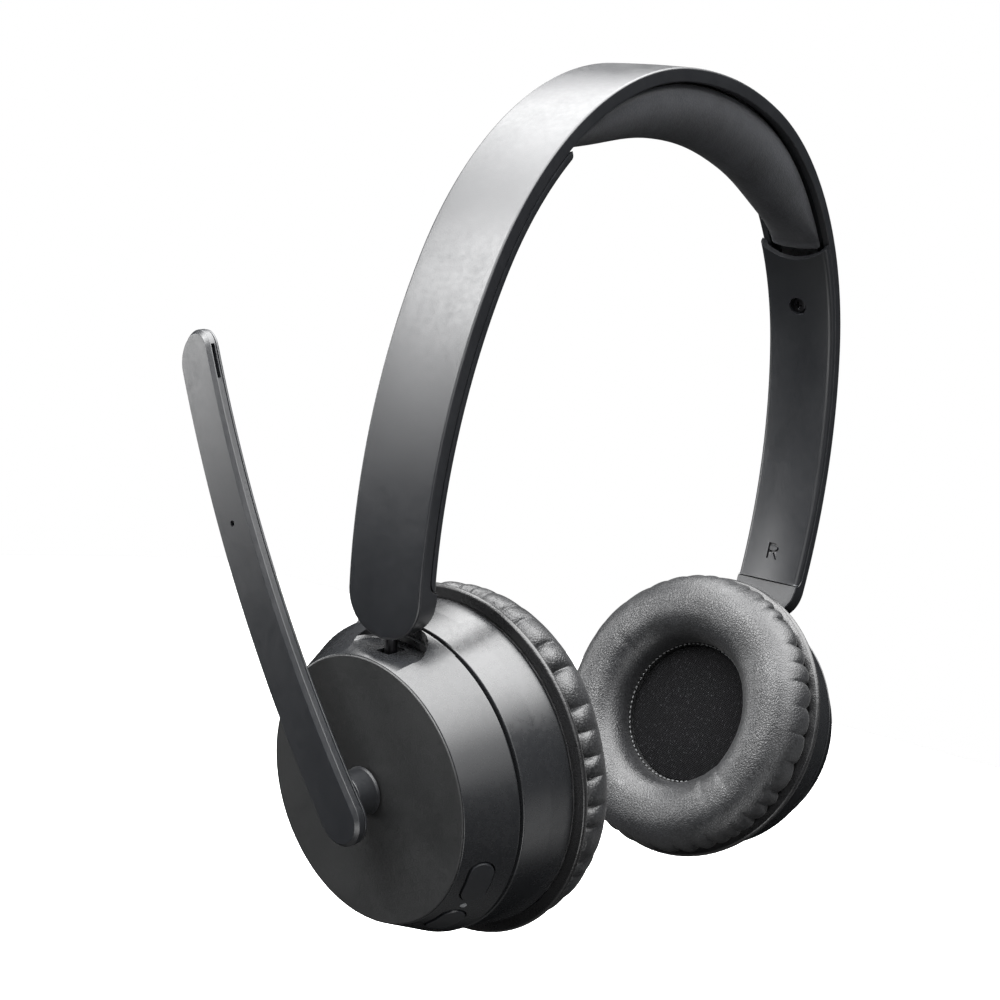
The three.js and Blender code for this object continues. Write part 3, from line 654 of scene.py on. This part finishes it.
def cup_disc(side):
    """The disc face over the housing's wall, with a hole for the boom's hub on the left."""
    name = side_name(side)
    inner = HUB_HOLE if side < 0 else 0
    face = rounded([(inner, 0), (DISC_RADIUS, 0), (DISC_RADIUS, 0.5), (DISC_RADIUS - 0.5, 0.8),
                    (DISC_RADIUS - 1.4, 1.6), (inner, 1.6)], [0.1 if inner else 0, 0.28, 0.1, 0.1, 0, 0], 4)
    disc = turned(f"disc_{name}", face, closed=bool(inner))
    move(disc, cup_frame(side))
    dress(disc, MATTE, f"cup_{name}", "matte_housing")


def flared_ring(side):
    name = side_name(side)
    outline = [
        (SIDE_RADIUS, RING_FRONT), (32.3, 17.5), (RING_RADIUS, RING_BACK), (31.4, RING_BACK),
        (29.6, 12.2), (27.9, 12.2), (27.9, 9.3), (29.1, 9.3), (29.1, RING_FRONT),
    ]
    outline = rounded(outline, [0.3, 12, 0.45, 0.2, 0, 0, 0, 0, 0.1], 6, True)
    ring = turned(f"ring_{name}_gloss", outline, closed=True)
    move(ring, cup_frame(side))
    return dress(ring, GLOSS, f"cup_{name}", "gloss_ring", f"ring_{name}")


PAD_MIDDLE = 26.1           # radius of the pad's crest
PAD_SHOULDER = 27.0         # depth from which the pad's front bulges
PAD_BULGE = 1.2             # how far the skin stands out past the CAD's radius
PAD_RISE = 1.1              # and past its front, before it is sunk for the swelling
PAD_SINK = 0.6              # share of the swelling by which the skin is lofted lower
PAD_STEPS = 640
PLEATS = 40
CREASE_FRONT = 33.2         # depth at which the creases have died out
CREASE_DEPTH = 3.4
STITCHES = 84
STITCH_DEPTH = 26.9


def pad_profile():
    """The ear cushion's closed section as (radius, depth), round the front and then along the back."""
    turns = np.radians(spread(0, 180, 30))
    bend = np.sign(np.cos(turns)) * np.abs(np.cos(turns)) ** np.where(turns > math.pi / 2, 0.62, 0.78)
    reach = np.where(bend > 0, PAD_RADIUS + PAD_BULGE - PAD_MIDDLE, PAD_MIDDLE - PAD_HOLE)
    front = np.column_stack([
        PAD_MIDDLE + bend * reach,
        PAD_SHOULDER + (PAD_FRONT + PAD_RISE - PAD_SHOULDER) * np.abs(np.sin(turns)) ** 0.86,
    ])
    back = [(PAD_HOLE + 0.5, PAD_BACK - 0.2), (30, PAD_BACK - 0.4), (PAD_RADIUS - 0.9, PAD_BACK - 0.2)]
    return np.array([*front, *back])


def gathers(chance, angles):
    """Creases of uneven width: how deep each one is and how fully it holds towards the front."""
    widths = chance.uniform(0.5, 1.6, PLEATS)
    edges = np.concatenate([[0], np.cumsum(widths)]) / widths.sum() * 2 * math.pi
    deep = chance.uniform(0.45, 1.0, PLEATS)
    long = chance.uniform(0.6, 1.25, PLEATS)
    index = np.clip(np.searchsorted(edges, angles, side="right") - 1, 0, PLEATS - 1)
    share = (angles - edges[index]) / (edges[index + 1] - edges[index])
    crease = (1 - np.sin(share * math.pi) ** 0.42) * deep[index]
    return crease[:, None], long[index][:, None]


def ear_pad(side):
    name = side_name(side)
    chance = np.random.default_rng(7 + side)
    profile = pad_profile()
    angles = np.arange(PAD_STEPS) * 2 * math.pi / PAD_STEPS
    radius = np.tile(profile[:, 0], (PAD_STEPS, 1))
    depth = np.tile(profile[:, 1], (PAD_STEPS, 1))
    # The creases are deepest at the back seam and gone before the front.
    crease, long = gathers(chance, angles)
    outward = profile[:, 0] > PAD_MIDDLE
    run = (CREASE_FRONT - profile[None, :, 1]) / (CREASE_FRONT - PAD_BACK) * long
    fade = np.clip(run, 0, 1) ** 1.25 * outward[None, :]
    radius -= CREASE_DEPTH * crease * fade
    depth += 0.5 * crease * fade
    # A slow unevenness of the foam, and three soft folds in the front.
    for order, size_mm in ((3, 0.28), (5, 0.2), (9, 0.1)):
        turn = chance.uniform(0, 2 * math.pi)
        depth += size_mm * np.sin(order * angles + turn)[:, None] * np.clip((profile[:, 1] - 28) / 6, 0, 1)
    for at, amount in ((-2.55, 0.55), (-2.3, 0.35), (0.6, 0.25)):
        across = (angles + math.pi - at) % (2 * math.pi) - math.pi
        fold = np.exp(-((across / 0.045) ** 2))
        place = np.exp(-(((profile[:, 0] - 21.5) / 3.4) ** 2)) * (profile[:, 1] > 27)
        depth -= amount * fold[:, None] * place[None, :]
    points = np.stack([radius * np.cos(angles)[:, None], radius * np.sin(angles)[:, None], -depth], axis=-1)
    points[:, :, 2] += SWELL * PAD_SINK
    pad = loft(f"ear_pad_{name}_leather", points, loop=True)
    seam_depth = PAD_BACK + 0.9
    inflate(pad, lambda p: -p[2] < seam_depth, SWELL, PAD_PRESSURE)
    subdivide(pad, 1)
    move(pad, cup_frame(side))
    dress(pad, LEATHER, f"cup_{name}", "leatherette", f"ear_pad_{name}")
    pad_lip(side)
    stitches(side)


def pad_lip(side):
    """The rolled lip that clips over the flared ring."""
    name = side_name(side)
    outline = [(33.2, 23.0), (LIP_RADIUS - 0.5, 22.95), (LIP_RADIUS - 0.05, 23.6), (LIP_RADIUS - 0.6, 24.4),
               (PAD_RADIUS - 0.5, 24.9), (33.2, 24.6)]
    lip = turned(f"pad_lip_{name}", rounded(outline, [0.1, 0.5, 0.6, 0.5, 0.3, 0.1], 5, True), closed=True)
    move(lip, cup_frame(side))
    dress(lip, LIP, f"cup_{name}", "leatherette")


def stitches(side):
    """A row of pale stitches where the pad's inner wall meets the cloth."""
    name = side_name(side)
    radius = PAD_HOLE - 0.25
    length, thick = 0.6 * 2 * math.pi * radius / STITCHES, 0.17
    sides = spread(0, 2 * math.pi, 8)[:-1]
    count = len(sides)
    rows = ((-0.5, 0.3), (-0.36, 0.9), (0, 1.0), (0.36, 0.9), (0.5, 0.3))   # (share of the length, swell)
    vertices, faces = [], []
    for k in range(STITCHES):
        middle = 2 * math.pi * k / STITCHES
        base = len(vertices)
        for t, swell in rows:
            turn = middle + t * length / radius
            dip = 0.22 * (2 * t) ** 2
            for a in sides:
                r = radius - dip * 0.4 + thick * swell * math.cos(a)
                z = -STITCH_DEPTH + dip + thick * swell * math.sin(a)
                vertices.append((r * math.cos(turn), r * math.sin(turn), z))
        for i in range(len(rows) - 1):
            for j in range(count):
                m = (j + 1) % count
                a, b = base + count * i, base + count * (i + 1)
                faces.append((a + j, a + m, b + m, b + j))
        end = len(vertices)
        faces.append(tuple(range(base, base + count)))
        faces.append(tuple(range(end - count, end)))
    row = new_object(f"pad_stitches_{name}", vertices, faces)
    move(row, cup_frame(side))
    dress(row, THREAD, f"cup_{name}", "leatherette")


def acoustic_cloth(side):
    name = side_name(side)
    edge = PAD_HOLE - 0.5
    profile = [(0, 26.5), (9, 26.3), (edge, 25.7), (edge, 24.9), (0, 24.9)]
    cloth = turned(f"acoustic_cloth_{name}_knit", rounded(profile, [0, 6, 0.6, 0.2, 0], 6), 160)
    move(cloth, cup_frame(side))
    return dress(cloth, KNIT, f"cup_{name}", "acoustic_cloth", f"acoustic_cloth_{name}")


BUTTON_PROUD = 0.36         # how far the buttons stand out of the wall


def push_button(node, at):
    """A pill-shaped button whose face follows the side wall."""
    frame_on_wall = wall_frame(at["angle"], at["depth"])
    cap = slab(f"{node}_cap", stadium(at["length"], at["width"]), -2.2, 4)
    move(cap, frame_on_wall)
    disc, wall = DISC_RADIUS + BUTTON_PROUD, SIDE_RADIUS + BUTTON_PROUD
    skin = turned("skin", [(0, -0.6), (disc, -0.6), (disc, 0), (wall, SIDE_DEPTH), (wall, 14), (0, 14)])
    carve(cap, skin, operation="INTERSECT")
    bevel(cap, 0.38, 4, 40)
    move(cap, cup_frame(-1))
    return dress(cap, SATIN, node, "matte_housing", node)


# ---------- microphone boom ----------
def boom_point(s, w, z):
    """Points of the boom: s from the hub, w towards the front edge and z above the disc."""
    s, w, z = np.broadcast_arrays(np.asarray(s, float), w, z)
    side = w - s * s / (2 * BOOM_BACK_BEND)
    height = z - s * s / (2 * BOOM_IN_BEND)
    return np.stack([
        -(math.sin(BOOM_LEAN) * s + math.cos(BOOM_LEAN) * side),
        math.cos(BOOM_LEAN) * s - math.sin(BOOM_LEAN) * side,
        height,
    ], axis=-1)


def boom_strip(name, profile):
    """A boom half from a profile of (inset, z), which runs from its outer face round to its inner face."""
    half = BOOM_HALF_WIDTH
    top, bottom = profile[0], profile[-1]
    shares = np.linspace(-1, 1, 9)
    rows = [(k, top[0], top[1]) for k in shares]
    rows += [(1, inset, z) for inset, z in profile[1:-1]]
    rows += [(k, bottom[0], bottom[1]) for k in shares[::-1]]
    rows += [(-1, inset, z) for inset, z in profile[-2:0:-1]]
    low, high = BOOM_HUB_END + half, BOOM_TIP - half
    return strip(name, spread(low, high, 60), (low, high), lambda s: rows, lambda s: half, half, boom_point)


NOISE_MICROPHONE_AT = 57    # from the hub, as is the next
TALK_MICROPHONE_AT = 88


def boom_bore(name, radius, end, spot, steps):
    """An upright cutter over a point of the boom."""
    bore = rod(name, radius, -20, end, steps)
    bore.data.transform(Matrix.Translation((spot[0] * MM, spot[1] * MM, 0)))
    return bore


def boom_channel(name, stations, low, high, bottom, top):
    """A cutter along the boom, between low and high in width and bottom and top above the split."""
    corners = [(low, bottom), (high, bottom), (high, top), (low, top)]
    return loft(name, [[boom_point(s, w, BOOM_SPLIT + z) for w, z in corners] for s in stations])


def boom():
    top = BOOM_OFFSET + BOOM_THICKNESS
    front_split, back_split = BOOM_SPLIT + 0.15, BOOM_SPLIT - 0.1
    front_profile = rounded([(2, top), (0.75, top), (0, top - 0.75), (0, front_split), (1, front_split)],
                            [0, 0.25, 0.25, 0.1, 0], 3)
    back_profile = rounded([(1, back_split), (0.12, back_split), (0.12, BOOM_OFFSET + 0.5),
                            (0.8, BOOM_OFFSET), (2, BOOM_OFFSET)], [0, 0.1, 0.2, 0.2, 0], 3)
    front = boom_strip("boom_front_skin", front_profile)
    back = boom_strip("boom_back_skin", back_profile)
    noise, talk = boom_point(NOISE_MICROPHONE_AT, 0, 0), boom_point(TALK_MICROPHONE_AT, 0, 0)
    carve(
        front,
        boom_channel("lead_space", spread(6, 84, 16), -2, 2, -1, 0.8),
        boom_bore("pocket", 2.3, top - 0.8 + noise[2], noise, 40),
        boom_bore("room", 2.9, top - 0.8 + talk[2], talk, 40),
        boom_bore("hole", 0.62, 20, noise, 24),
        boom_channel("slot", spread(84, 91, 8), -7, -1, 0.5, 1.35),
    )
    for piece, node, slot_name in ((front, "boom_front", "satin_shell"), (back, "boom_back", "satin_cover")):
        move(piece, cup_frame(-1))
        dress(piece, SATIN, "boom", slot_name, node)


def boom_hub():
    face = -BOOM_OFFSET + GAP
    corners = [(0, face), (HUB_RADIUS, face), (HUB_RADIUS, -0.9), (HUB_RADIUS + 0.25, -GAP),
               (3, -GAP), (3, 3.4), (0, 3.4)]
    hub = turned("boom_hub_stub", rounded(corners, [0, 0.3, 0.4, 0.1, 0, 0.2, 0], 4), 96)
    move(hub, cup_frame(-1))
    return dress(hub, SATIN, "boom", "satin_cover", "boom_hub")


# ---------- materials ----------
class Nodes:
    """Short calls for building one material's node tree."""

    def __init__(self, name):
        self.material = bpy.data.materials.new(name)
        self.material.use_nodes = True
        self.tree = self.material.node_tree
        self.shader = self.tree.nodes["Principled BSDF"]
        self.place = self.add("ShaderNodeTexCoord").outputs["Object"]

    def add(self, kind, **settings):
        node = self.tree.nodes.new(kind)
        for key, value in settings.items():
            setattr(node, key, value)
        return node

    def link(self, source, target):
        if isinstance(source, (int, float, tuple)):
            target.default_value = source
        else:
            self.tree.links.new(source, target)

    def noise(self, size_mm, detail=2.0, rough=0.5):
        node = self.add("ShaderNodeTexNoise")
        self.link(self.place, node.inputs["Vector"])
        node.inputs["Scale"].default_value = 1 / (size_mm * MM)
        node.inputs["Detail"].default_value = detail
        node.inputs["Roughness"].default_value = rough
        return node.outputs["Fac"]

    def cells(self, size_mm, feature="F1", vector=None):
        node = self.add("ShaderNodeTexVoronoi", feature=feature)
        self.link(vector or self.place, node.inputs["Vector"])
        node.inputs["Scale"].default_value = 1 / (size_mm * MM)
        return node.outputs["Distance"]

    def ramp(self, value, low, high, out_low=0.0, out_high=1.0):
        node = self.add("ShaderNodeMapRange", clamp=True)
        self.link(value, node.inputs["Value"])
        node.inputs["From Min"].default_value = low
        node.inputs["From Max"].default_value = high
        node.inputs["To Min"].default_value = out_low
        node.inputs["To Max"].default_value = out_high
        return node.outputs["Result"]

    def math(self, operation, a, b):
        node = self.add("ShaderNodeMath", operation=operation)
        self.link(a, node.inputs[0])
        self.link(b, node.inputs[1])
        return node.outputs[0]

    def mix(self, share, a, b):
        node = self.add("ShaderNodeMix", data_type="RGBA")
        self.link(share, node.inputs[0])
        for value, socket in ((a, node.inputs[6]), (b, node.inputs[7])):
            self.link((*value, 1.0) if isinstance(value, tuple) else value, socket)
        return node.outputs[2]

    def edges(self, width_mm):
        """1 on sharp edges and corners, 0 on flats."""
        round_normal = self.add("ShaderNodeBevel", samples=4)
        round_normal.inputs["Radius"].default_value = width_mm * MM
        plain = self.add("ShaderNodeNewGeometry")
        dot = self.add("ShaderNodeVectorMath", operation="DOT_PRODUCT")
        self.link(round_normal.outputs[0], dot.inputs[0])
        self.link(plain.outputs["Normal"], dot.inputs[1])
        return self.ramp(dot.outputs["Value"], 0.995, 0.9)

    def bump(self, height, depth_mm, strength=1.0, after=None):
        node = self.add("ShaderNodeBump")
        self.link(height, node.inputs["Height"])
        node.inputs["Distance"].default_value = depth_mm * MM
        node.inputs["Strength"].default_value = strength
        if after:
            self.link(after, node.inputs["Normal"])
        return node.outputs["Normal"]

    def set(self, **values):
        for key, value in values.items():
            socket = self.shader.inputs[key.replace("_", " ")]
            self.link((*value, 1.0) if isinstance(value, tuple) and len(value) == 3 else value, socket)
        return self.material


def moulded_plastic(name, dark, light, roughness, grain_mm, grain_depth, wear=0.5):
    """Injection-moulded plastic: fine grain, faint mottling, handling marks and lighter, smoother edges."""
    n = Nodes(name)
    mottle = n.noise(9, 4, 0.6)
    smudge = n.ramp(n.noise(14, 5, 0.7), 0.35, 0.7)
    edge = n.math("MULTIPLY", n.edges(0.35), n.ramp(n.noise(2.2, 3), 0.4, 0.65, 0.0, wear))
    colour = n.mix(edge, n.mix(mottle, dark, light), tuple(min(1.0, 3.2 * c) for c in light))
    speckle = n.ramp(n.noise(1.2, 3), 0.3, 0.7, -0.035, 0.035)
    handled = n.ramp(smudge, 0, 1, roughness + 0.04, roughness - 0.04)
    rough = n.math("ADD", speckle, handled)
    rough = n.math("SUBTRACT", rough, n.math("MULTIPLY", edge, 0.1))
    normal = n.bump(n.noise(grain_mm, 2, 0.55), grain_depth)
    normal = n.bump(n.noise(16, 2), 0.05, 1.0, normal)
    return n.set(Base_Color=colour, Roughness=rough, Normal=normal, IOR=1.5)


def leatherette(name, dark, light, roughness, relief_mm):
    """Protein leatherette: small pebbled cells in low relief, painted darker in their grooves as shade, finer
    pores, and soft mottling.
    """
    n = Nodes(name)
    warp = n.add("ShaderNodeVectorMath", operation="ADD")
    wobble = n.add("ShaderNodeTexNoise")
    n.link(n.place, wobble.inputs["Vector"])
    wobble.inputs["Scale"].default_value = 1 / (1.6 * MM)
    scaled = n.add("ShaderNodeVectorMath", operation="SCALE")
    n.link(wobble.outputs["Color"], scaled.inputs[0])
    scaled.inputs["Scale"].default_value = 0.5 * MM
    n.link(n.place, warp.inputs[0])
    n.link(scaled.outputs[0], warp.inputs[1])
    pebbles = n.cells(0.68, "DISTANCE_TO_EDGE", warp.outputs[0])
    relief = n.ramp(pebbles, 0.0, 0.22)
    pores = n.noise(0.28, 3, 0.65)
    folds = n.noise(4.5, 4, 0.6)
    # The pebbles' colour follows their relief: painted shade in the grooves between them, lighter on their tops.
    colour = n.mix(relief, dark, light)
    patches = n.ramp(n.noise(11, 3), 0.35, 0.7)
    colour = n.mix(patches, colour, n.mix(0.35, colour, tuple(1.6 * c for c in light)))
    grain = n.ramp(pores, 0.3, 0.7, roughness, roughness + 0.12)
    rough = n.math("ADD", grain, n.ramp(folds, 0.35, 0.7, 0.05, -0.04))
    normal = n.bump(relief, relief_mm, 0.6)
    normal = n.bump(pores, 0.01, 0.6, normal)
    normal = n.bump(folds, 0.25, 0.5, normal)
    return n.set(Base_Color=colour, Roughness=rough, Normal=normal, IOR=1.48, Sheen_Weight=0.04)


def knitted_cloth(name):
    """Thin black knit over foam: rows of small loops with painted shade between them and painted glints on them
    here and there.
    """
    n = Nodes(name)
    split = n.add("ShaderNodeSeparateXYZ")
    n.link(n.place, split.inputs[0])
    pitch = 2 * math.pi / (0.62 * MM)
    waves = []
    for axis, phase in (("Y", 0.0), ("Z", 1.2)):
        run = n.math("MULTIPLY", split.outputs[axis], pitch)
        waves.append(n.math("SINE", n.math("ADD", run, phase), 0.0))
    loops = n.ramp(n.math("MULTIPLY", waves[0], waves[1]), -0.8, 0.9)
    fuzz = n.noise(0.22, 3, 0.7)
    painted_glint = n.ramp(n.noise(0.5, 2), 0.58, 0.78)
    # Painted shade: the colour is darker in the gaps between the loops and lighter on the loops.
    colour = n.mix(loops, (0.0015, 0.0015, 0.0017), (0.007, 0.007, 0.0075))
    # Painted glints: pale specks on the loops' tops, here and there.
    colour = n.mix(n.math("MULTIPLY", painted_glint, loops), colour, (0.04, 0.041, 0.043))
    normal = n.bump(loops, 0.16, 0.8)
    normal = n.bump(fuzz, 0.08, 0.7, normal)
    rough = n.ramp(fuzz, 0.3, 0.7, 0.72, 0.95)
    return n.set(Base_Color=colour, Roughness=rough, Normal=normal, IOR=1.4, Specular_IOR_Level=0.06)


def brushed_metal(name, dark, light, roughness):
    """Turned or drawn metal: fine streaks, faint stains and brighter edges."""
    n = Nodes(name)
    stretch = n.add("ShaderNodeMapping")
    n.link(n.place, stretch.inputs["Vector"])
    stretch.inputs["Scale"].default_value = (1, 12, 1)
    streaks = n.add("ShaderNodeTexNoise")
    n.link(stretch.outputs[0], streaks.inputs["Vector"])
    streaks.inputs["Scale"].default_value = 1 / (1.1 * MM)
    streaks.inputs["Detail"].default_value = 3
    stain = n.noise(3.5, 4, 0.6)
    colour = n.mix(n.math("MULTIPLY", streaks.outputs["Fac"], stain), dark, light)
    colour = n.mix(n.math("MULTIPLY", n.edges(0.2), 0.4), colour, tuple(min(1.0, 1.6 * c) for c in light))
    drawn = n.ramp(streaks.outputs["Fac"], 0.3, 0.7, -0.06, 0.06)
    rough = n.math("ADD", drawn, n.ramp(stain, 0.3, 0.7, roughness, roughness + 0.08))
    normal = n.bump(streaks.outputs["Fac"], 0.01, 0.5)
    return n.set(Base_Color=colour, Roughness=rough, Normal=normal, Metallic=1.0)


def board_mask(name):
    """Green solder mask over copper tracks, with bare gold pads."""
    n = Nodes(name)
    tracks = n.ramp(n.cells(2.6, "DISTANCE_TO_EDGE"), 0.04, 0.06)
    pads = n.ramp(n.cells(1.9), 0.16, 0.13)
    colour = n.mix(tracks, (0.016, 0.14, 0.07), (0.006, 0.055, 0.03))
    colour = n.mix(pads, colour, (0.6, 0.42, 0.16))
    return n.set(Base_Color=colour, Roughness=n.ramp(n.noise(2, 3), 0.3, 0.7, 0.28, 0.42),
                 Normal=n.bump(tracks, 0.04, 0.6), Metallic=n.ramp(pads, 0, 1, 0.0, 0.9))


def foil_pouch(name):
    """A battery's laminated foil: creased and faintly stained."""
    n = Nodes(name)
    crumple = n.noise(3.2, 5, 0.65)
    colour = n.mix(n.noise(8, 3), (0.42, 0.43, 0.45), (0.62, 0.63, 0.65))
    return n.set(Base_Color=colour, Roughness=n.ramp(crumple, 0.3, 0.7, 0.22, 0.4),
                 Normal=n.bump(crumple, 0.4, 0.5), Metallic=0.85)


def milky_light(name):
    """A milky light pipe, unlit."""
    n = Nodes(name)
    cloud = n.noise(0.7, 3)
    return n.set(Base_Color=n.mix(cloud, (0.1, 0.105, 0.11), (0.2, 0.205, 0.21)),
                 Roughness=n.ramp(cloud, 0.3, 0.7, 0.12, 0.25), Normal=n.bump(cloud, 0.02, 0.4), IOR=1.5)


SATIN = moulded_plastic("satin plastic", (0.007, 0.0076, 0.0088), (0.011, 0.0117, 0.0133),
                        0.36, 0.16, 0.012)
MATTE = moulded_plastic("matte plastic", (0.0055, 0.0058, 0.006), (0.009, 0.0094, 0.0097), 0.52, 0.2, 0.022)
GLOSS = moulded_plastic("gloss plastic", (0.009, 0.0095, 0.0105), (0.012, 0.0125, 0.0135),
                        0.26, 0.4, 0.0009, 0.12)
INNER = moulded_plastic("inner plastic", (0.012, 0.012, 0.013), (0.02, 0.02, 0.021), 0.55, 0.3, 0.02)
LEATHER = leatherette("leatherette", (0.003, 0.0031, 0.0034), (0.011, 0.0114, 0.0124), 0.29, 0.06)
LIP = leatherette("rolled lip", (0.003, 0.003, 0.0033), (0.006, 0.006, 0.0065), 0.22, 0.02)
LINER = leatherette("headband liner", (0.019, 0.0195, 0.0215), (0.034, 0.0355, 0.0395), 0.42, 0.025)
THREAD = leatherette("stitching thread", (0.05, 0.051, 0.053), (0.11, 0.112, 0.115), 0.5, 0.05)
KNIT = knitted_cloth("acoustic knit")
STEEL = brushed_metal("satin steel", (0.42, 0.43, 0.45), (0.66, 0.67, 0.69), 0.28)
BLACKENED = brushed_metal("black oxide", (0.02, 0.02, 0.022), (0.06, 0.06, 0.064), 0.34)
BOARD = board_mask("circuit board")
FOIL = foil_pouch("foil pouch")
MILKY = milky_light("light pipe")


def dress(obj, material, body, slot, *nodes):
    """Gives a finished piece its material, body and the CAD nodes that it stands for. The record slot argument is
    not used.
    """
    obj.data.materials.clear()
    obj.data.materials.append(material)
    shade(obj)
    if material in (GLOSS, SATIN, MATTE):
        obj.modifiers.new("even", "WEIGHTED_NORMAL").keep_sharp = True
        evaluated(obj)
    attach(obj, body)
    if nodes:
        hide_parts(*nodes)
    return obj


# ---------- the object ----------
headband_shell()
headband_cushion()
for cup_side in (-1, 1):
    arm_cover(cup_side)
    cover_screw(cup_side)
    housing(cup_side)
    flared_ring(cup_side)
    ear_pad(cup_side)
    acoustic_cloth(cup_side)
push_button("multifunction_button", MULTI_BUTTON)
push_button("volume_button", VOLUME_BUTTON)
boom()
boom_hub()

# CAD nodes whose shape stays get their own finish by the record's slot.
FINISHES = {
    "satin_shell": SATIN, "satin_cover": SATIN, "matte_housing": MATTE, "gloss_ring": GLOSS,
    "inner_plastic": INNER, "leatherette": LEATHER, "acoustic_cloth": KNIT, "spring_steel": STEEL,
    "dark_steel": BLACKENED, "board": BOARD, "cell": FOIL, "light_pipe": MILKY,
}
for part in RECORD["subparts"]:
    node = frame["nodes"][part["node"]]
    if not node.hide_render:
        node.data.materials.clear()
        node.data.materials.append(FINISHES[part["material_slot"]])


# ---------- studio ----------
FLOOR_HALF_SIZE = 1100      # millimetres
FLOOR_DROP = 0.14           # metres from the headset's lowest point down to the floor
CAMERA_LENS = 65.926
CAMERA_PLACE = (-0.35932, -0.20265, -0.05286)
CAMERA_AIM = (0.83278, 0.54867, -0.07372)
CAMERA_ROLL = math.radians(-9.637)


def area_light(name, place, aim, size, power, edge):
    """A softbox that fades towards its edges over the given share of its half size."""
    light = bpy.data.lights.new(name, "AREA")
    light.shape = "RECTANGLE"
    light.size, light.size_y = size
    light.energy = power
    light.use_nodes = True
    tree = light.node_tree
    emission = tree.nodes["Emission"]
    split = tree.nodes.new("ShaderNodeSeparateXYZ")
    tree.links.new(tree.nodes.new("ShaderNodeTexCoord").outputs["UV"], split.inputs[0])
    share = None
    for axis in ("X", "Y"):
        middle = tree.nodes.new("ShaderNodeMath")
        middle.operation = "PINGPONG"
        tree.links.new(split.outputs[axis], middle.inputs[0])
        middle.inputs[1].default_value = 0.5
        fade = tree.nodes.new("ShaderNodeMapRange")
        fade.interpolation_type = "SMOOTHSTEP"
        tree.links.new(middle.outputs[0], fade.inputs["Value"])
        fade.inputs["From Min"].default_value = 0.0
        fade.inputs["From Max"].default_value = edge / 2 + 0.01
        if share is None:
            share = fade.outputs["Result"]
            continue
        both = tree.nodes.new("ShaderNodeMath")
        both.operation = "MULTIPLY"
        tree.links.new(share, both.inputs[0])
        tree.links.new(fade.outputs["Result"], both.inputs[1])
        share = both.outputs[0]
    tree.links.new(share, emission.inputs["Strength"])
    obj = bpy.data.objects.new(name, light)
    bpy.context.scene.collection.objects.link(obj)
    obj.location = place
    obj.rotation_mode = "QUATERNION"
    obj.rotation_quaternion = (Vector(aim) - Vector(place)).to_track_quat("-Z", "Y")
    obj.visible_camera = False
    return obj


def studio():
    middle = Vector((0, 0, -0.08))
    area_light("overhead_softbox", (-0.1, -0.05, 0.8), middle, (2.6, 2.6), 282, 0.7)
    area_light("left_softbox", (-0.75, 0.5, 0.5), middle, (0.8, 0.8), 52, 0.9)
    area_light("left_low_softbox", (-0.95, 0.62, 0.15), middle, (0.7, 0.7), 10, 0.9)
    area_light("boom_softbox", (-0.3, 1.25, -0.02), middle, (0.8, 1.0), 20, 0.6)
    area_light("rear_fill", (-0.9, -1.1, 0.35), middle, (1.4, 1.4), 16, 0.6)
    area_light("low_fill", (-0.7, -0.5, -0.75), middle, (0.9, 0.9), 14, 0.8)
    area_light("cushion_fill", (0.5, -0.9, -0.5), middle, (1.0, 1.0), 3, 0.8)
    area_light("floor_bounce", (-0.1, 0.0, -0.95), middle, (1.6, 1.6), 2, 0.8)
    world = bpy.data.worlds.new("studio")
    bpy.context.scene.world = world
    world.use_nodes = True
    world.node_tree.nodes["Background"].inputs["Color"].default_value = (1, 1, 1, 1)
    world.node_tree.nodes["Background"].inputs["Strength"].default_value = 1.0
    for ray in ("diffuse", "glossy", "transmission", "scatter"):
        setattr(world.cycles_visibility, ray, False)
    bpy.context.scene.view_settings.view_transform = "Standard"
    lowest = CAD_BOX[0].z
    half = FLOOR_HALF_SIZE
    floor = new_object("floor", [(-half, -half, 0), (half, -half, 0), (half, half, 0), (-half, half, 0)],
                       [(0, 1, 2, 3)])
    floor.location.z = lowest - FLOOR_DROP
    for ray in ("visible_diffuse", "visible_glossy", "visible_transmission", "visible_shadow"):
        setattr(floor, ray, False)
    paper = Nodes("white paper")
    tint = paper.mix(paper.noise(40, 2), (0.93, 0.93, 0.93), (0.96, 0.96, 0.96))
    paper.set(Base_Color=tint, Roughness=0.9)
    floor.data.materials.append(paper.material)


def camera():
    data = bpy.data.cameras.new("camera")
    data.lens = CAMERA_LENS
    data.sensor_width = 36
    data.clip_start, data.clip_end = 0.01, 20
    obj = bpy.data.objects.new("camera", data)
    bpy.context.scene.collection.objects.link(obj)
    forward = Vector(CAMERA_AIM).normalized()
    level = forward.cross(Vector((0, 0, 1))).normalized()
    down = forward.cross(level)
    right = level * math.cos(CAMERA_ROLL) + down * math.sin(CAMERA_ROLL)
    up = right.cross(forward)
    turn = Matrix((right, up, -forward)).transposed()
    obj.matrix_world = Matrix.Translation(CAMERA_PLACE) @ turn.to_4x4()
    bpy.context.scene.camera = obj


studio()
camera()
